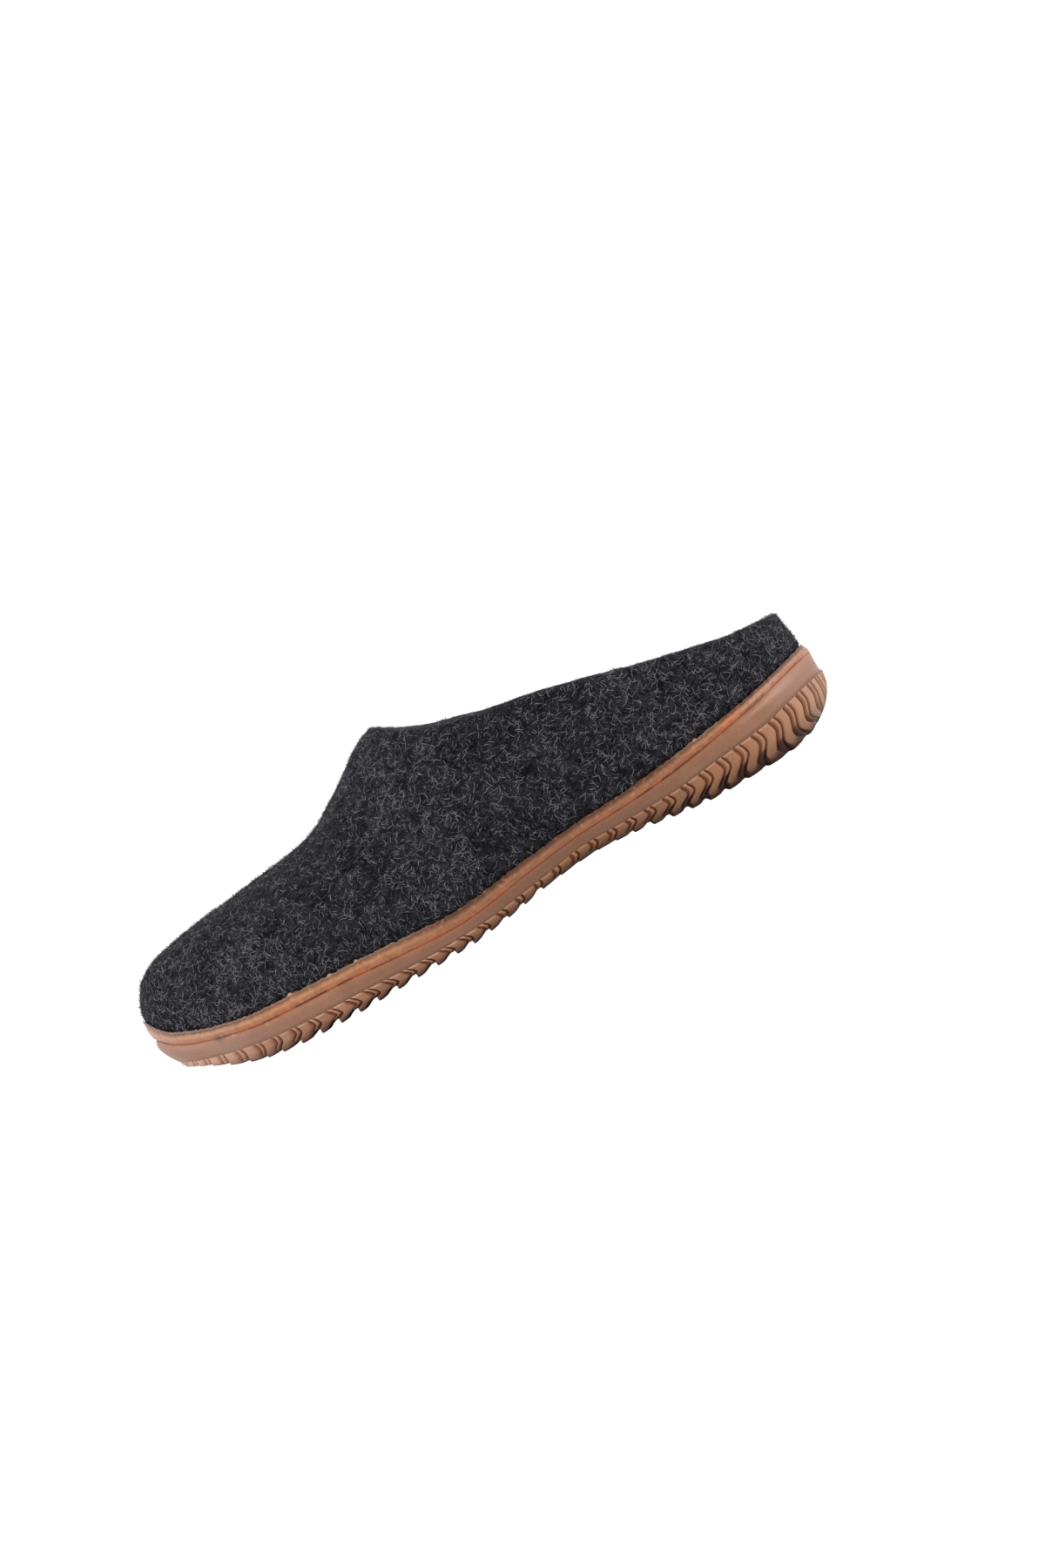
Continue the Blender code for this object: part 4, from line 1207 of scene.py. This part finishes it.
def round_rand(on_face, on_lip=0.0):
    """Values by row round a section of the rand, from those of its face, with one value on its lip."""
    return np.concatenate((on_face, np.full(len(RAND_LIP_ROWS), on_lip), np.zeros(len(RAND_INNER_RISES))))


# Where the strip changes colour, by station and by the share of its height, with a painted highlight
# along the ridge of its bulge and painted shade above it, under the swell of the felt
MID_FOOT_STARTS = (92.0, 122.0)
MID_FOOT_ENDS = (238.0, 208.0)
TOE_SHADE = (60.0, 30.0)
HEEL_DARK = (238.0, 12.0)
HEEL_PALE = (262.0, 9.0)
RIDGE_HIGHLIGHT_RISE = (0.5, 0.12)
STAIN_SIZE = 14.0
BLOT_SIZE = 3.2
face_rise = np.array(RAND_SECTION)[:, 0]
rand_rise = round_rand(face_rise, 1.0)
rand_station = station_of(rand_points)
on_lip = round_rand(ramp(face_rise, 0.87, 0.95), 1.0)
mid_foot = ramp(rand_station, *MID_FOOT_STARTS) * ramp(rand_station, *MID_FOOT_ENDS)
at_heel = ramp(rand_station, *HEEL_LINE_STARTS)
toe_shade = blend(0.6, 0.85, ramp(rand_station, *TOE_SHADE))
# Painted shade on the upper face of the strip, under the swell of the felt
shade = ramp(rand_rise, 0.64, 0.88) * blend(toe_shade, 1.0, at_heel)
mid_shade = np.clip((rand_rise - 0.36) / 0.5, 0.0, 1.0) ** 1.2

# Red cement: along the seam, and at the heel in blots round the second line
stain = np.clip(0.6 + 0.4 * wave_noise(rand_points, STAIN_SIZE, seed=33), 0.15, 1.0)
blots = np.clip(0.55 + 0.8 * wave_noise(rand_points, BLOT_SIZE, seed=36), 0.0, 1.0)
seam_red = stain * seam_stain(rand_station) * round_rand(np.exp(-face_rise / 0.07))
seam_red = seam_red + 0.26 * round_rand(ramp(face_rise, 0.4, 0.0)) * (1.0 - 0.7 * at_heel)
uneven = 0.05 * wave_noise(rand_points * ALONG_ONLY, 6.0, seed=38)
heel_red = 0.9 * hump(rand_rise - uneven, HEEL_LINE_RISE, HEEL_LINE_HALF_WIDTH)
heel_red = at_heel * (heel_red + round_rand(ramp(face_rise, 0.25, 0.05)))

# Marks: the dark line and pale edge where the strip has lifted, the dashes and the smudge
lifted = ramp(rand_station, HEEL_LIFT[0] + 1.0, HEEL_LIFT[0] + 3.0)
lifted = lifted * ramp(rand_station, HEEL_LIFT[1] + 1.0, HEEL_LIFT[1] - 1.0)
lifted_line = 0.7 * lifted * hump(rand_rise, *LIFTED_LINE_RISE)
lifted_edge = 0.45 * lifted * hump(rand_rise, *LIFTED_EDGE_RISE)
dashes = round_rand(ramp(face_rise, 0.15, 0.0)) * seam_dashes(rand_points)
smudge = hump(rand_station, *SMUDGE) * (rand_points[..., 1] < 0.0)
rand_ids = grid_ids(rand_points)
rand_ids = np.concatenate((rand_ids, rand_ids[:1]))
rand = mesh_piece(
    "rand_rubber",
    rand_points,
    (tube_faces(rand_ids),),
    strip_rubber,
    {
        "waist": hump(rand_station, WAIST_STATION, WAIST_HALF_LENGTH) + 0.6 * hump(rand_station, *HEEL_DARK),
        "pale_end": np.clip(pale_ends(rand_station) * blend(0.9, 1.8, at_heel), 0.0, 1.0),
        "heel_pale": hump(rand_station, *HEEL_PALE) * (1.0 - on_lip),
        "ridge_highlight": round_rand(hump(face_rise, *RIDGE_HIGHLIGHT_RISE)) * blend(1.0, 0.35, mid_foot),
        "shade": blend(shade, mid_shade, mid_foot),
        "lip": on_lip * (1.0 - mid_foot) * (1.0 - 0.8 * at_heel),
        "heel_band": at_heel * round_rand(ramp(face_rise, HEEL_LINE_RISE + 0.08, HEEL_LINE_RISE)),
        "heel_patch": hump(rand_station, *HEEL_PATCH) * hump(rand_rise, *HEEL_PATCH_RISE),
        "seam": np.clip(seam_red + heel_red * blots, 0.0, 1.0),
        "dash": np.maximum(dashes, lifted_line),
        "smudge": smudge * round_rand(ramp(face_rise, 0.45, 0.0)),
        "crumb": np.clip(crumb * on_lip + lifted_edge, 0.0, 1.0),
    },
)
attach(rand, "root")
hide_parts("rand")

# Insole: a pad of softer grey felt, cut to the last and laid inside on the sole, with its edges
# turned up a little where they meet the upper.
INSOLE_INSET = TUCK_INSET + FELT_THICKNESS + GAP
INSOLE_THICKNESS = 3.5
INSOLE_ROUND = 1.2
INSOLE_SECTIONS = 160
INSOLE_ACROSS = 40
INSOLE_DISH = 0.5
INSOLE_TOE_RISE = 3.2
INSOLE_TOE_REACH = 22.0
INSOLE_SPREAD = 0.6
INSOLE_LUMP = 0.15
INSOLE_LUMP_SIZE = 16.0
insole_share = (1.0 - np.cos(np.linspace(0.0, math.pi, INSOLE_SECTIONS)))[:, None] / 2.0
from_edge = np.linspace(-1.0, 1.0, INSOLE_ACROSS)
near_edge = np.abs(from_edge) ** 8


def insole_plan(inset):
    """Stations and Y of points across the insole, when its edge is drawn in by an inset."""
    (station, left_y), (_, right_y) = [plan_point(side, insole_share, inset) for side in SIDES]
    return station, blend(left_y, right_y, (from_edge + 1.0) / 2.0)


station, y = insole_plan(INSOLE_INSET)
bottom = sole["seam"](station) + GAP
dish = INSOLE_DISH * (1.0 - from_edge**2)
turned_up = INSOLE_TOE_RISE * ramp(station - INSOLE_INSET, INSOLE_TOE_REACH, 0.0)
top = bottom + INSOLE_THICKNESS - dish - INSOLE_ROUND * near_edge + turned_up
upper_face = place(*insole_plan(INSOLE_INSET - INSOLE_SPREAD), top)
upper_face[..., 2] += INSOLE_LUMP * MM * wave_noise(upper_face, INSOLE_LUMP_SIZE, seed=41)
insole_points = np.concatenate((upper_face, place(station, y, bottom)[:, ::-1]), axis=1)

# Needled felt, cut from sheet: an even dull grey, paler than the upper, with short flecks of wool
PAD_FLECK_SIZE = 2.0
pad_felt, tree, shader = new_surface("wool_felt_needled_sheet")
coords = add_node(tree, "ShaderNodeTexCoord", {}, "Object")
inputs = {"Vector": coords, "Scale": per_metre(PAD_FLECK_SIZE), "Detail": 5.0}
flecks = add_node(tree, "ShaderNodeTexNoise", inputs)
fleck_share = add_node(tree, "ShaderNodeMapRange", {"Value": flecks, "From Min": 0.35, "From Max": 0.65})
inputs = {SHARE: fleck_share, UNDER: linear("#2E2D31"), OVER: linear("#55545A")}
colour = add_node(tree, "ShaderNodeMix", inputs, **COLOUR_MIX)
inputs = {"Height": flecks, "Strength": 0.6, "Distance": FELT_PILE_DEPTH * MM}
bump = add_node(tree, "ShaderNodeBump", inputs, "Normal")
set_inputs(tree, shader, {"Base Color": colour, "Normal": bump, "Roughness": FELT_ROUGHNESS})
set_inputs(tree, shader, {"IOR": FELT_IOR})
insole = mesh_piece(
    "insole_felt",
    insole_points,
    (tube_faces(grid_ids(insole_points)),),
    pad_felt,
)
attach(insole, "root")
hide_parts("insole")

# Floor: a wide sheet of matt white paper that the slipper stands on, lit until it reads as white
FLOOR_HALF = 9.0
bpy.ops.mesh.primitive_plane_add(size=2.0 * FLOOR_HALF, location=(0.0, 0.0, 0.0))
floor = bpy.context.object
floor.name = "floor_paper"
paper, tree, shader = new_surface("paper_matt_coated")
set_inputs(tree, shader, {"Base Color": linear("#F5F5F5"), "Roughness": 0.9})
floor.data.materials.append(paper)

# Light: a white room and two large soft lamps, low beyond the toe and beyond the heel
ROOM_STRENGTH = 1.3
LAMP_SIZE = 1.2
LAMPS = (("toe_lamp", (-1.6, -0.55, 0.45), 18.0), ("heel_lamp", (1.65, -0.35, 0.45), 15.0))
scene = bpy.context.scene
room = bpy.data.worlds.new("white_room")
room.use_nodes = True
background = room.node_tree.nodes["Background"]
set_inputs(room.node_tree, background, {"Color": linear("#FFFFFF"), "Strength": ROOM_STRENGTH})
scene.world = room
for name, location, power in LAMPS:
    lamp_data = bpy.data.lights.new(name, "AREA")
    lamp_data.shape = "SQUARE"
    lamp_data.size = LAMP_SIZE
    lamp_data.energy = power
    lamp = bpy.data.objects.new(name, lamp_data)
    lamp.location = location
    lamp.rotation_euler = (-Vector(location)).to_track_quat("-Z", "Y").to_euler()
    scene.collection.objects.link(lamp)
scene.view_settings.view_transform = "Standard"

# Camera: straight on to the outer side from 8 m off and close to the floor, rolled by the slope that
# the slipper has in the picture, so that the toe points down to the left. The picture's height and its
# middle, along and up, are in millimetres at the slipper.
PICTURE_HEIGHT = 589.0
PICTURE_ROLL = math.radians(31.1)
PICTURE_MIDDLE = (25.5, 42.1)
CAMERA_DISTANCE = 8.0
CAMERA_HEIGHT = 6.0
camera_data = bpy.data.cameras.new("camera")
camera_data.sensor_width = 36.0
camera_data.lens = camera_data.sensor_width * CAMERA_DISTANCE / (PICTURE_HEIGHT * MM)
camera = bpy.data.objects.new("camera", camera_data)
camera.location = (PICTURE_MIDDLE[0] * MM, -CAMERA_DISTANCE, CAMERA_HEIGHT * MM)
ahead = Vector((PICTURE_MIDDLE[0] * MM, 0.0, PICTURE_MIDDLE[1] * MM)) - camera.location
roll = Quaternion((0.0, 0.0, 1.0), -PICTURE_ROLL)
camera.rotation_euler = (ahead.to_track_quat("-Z", "Y") @ roll).to_euler()
scene.collection.objects.link(camera)
scene.camera = camera
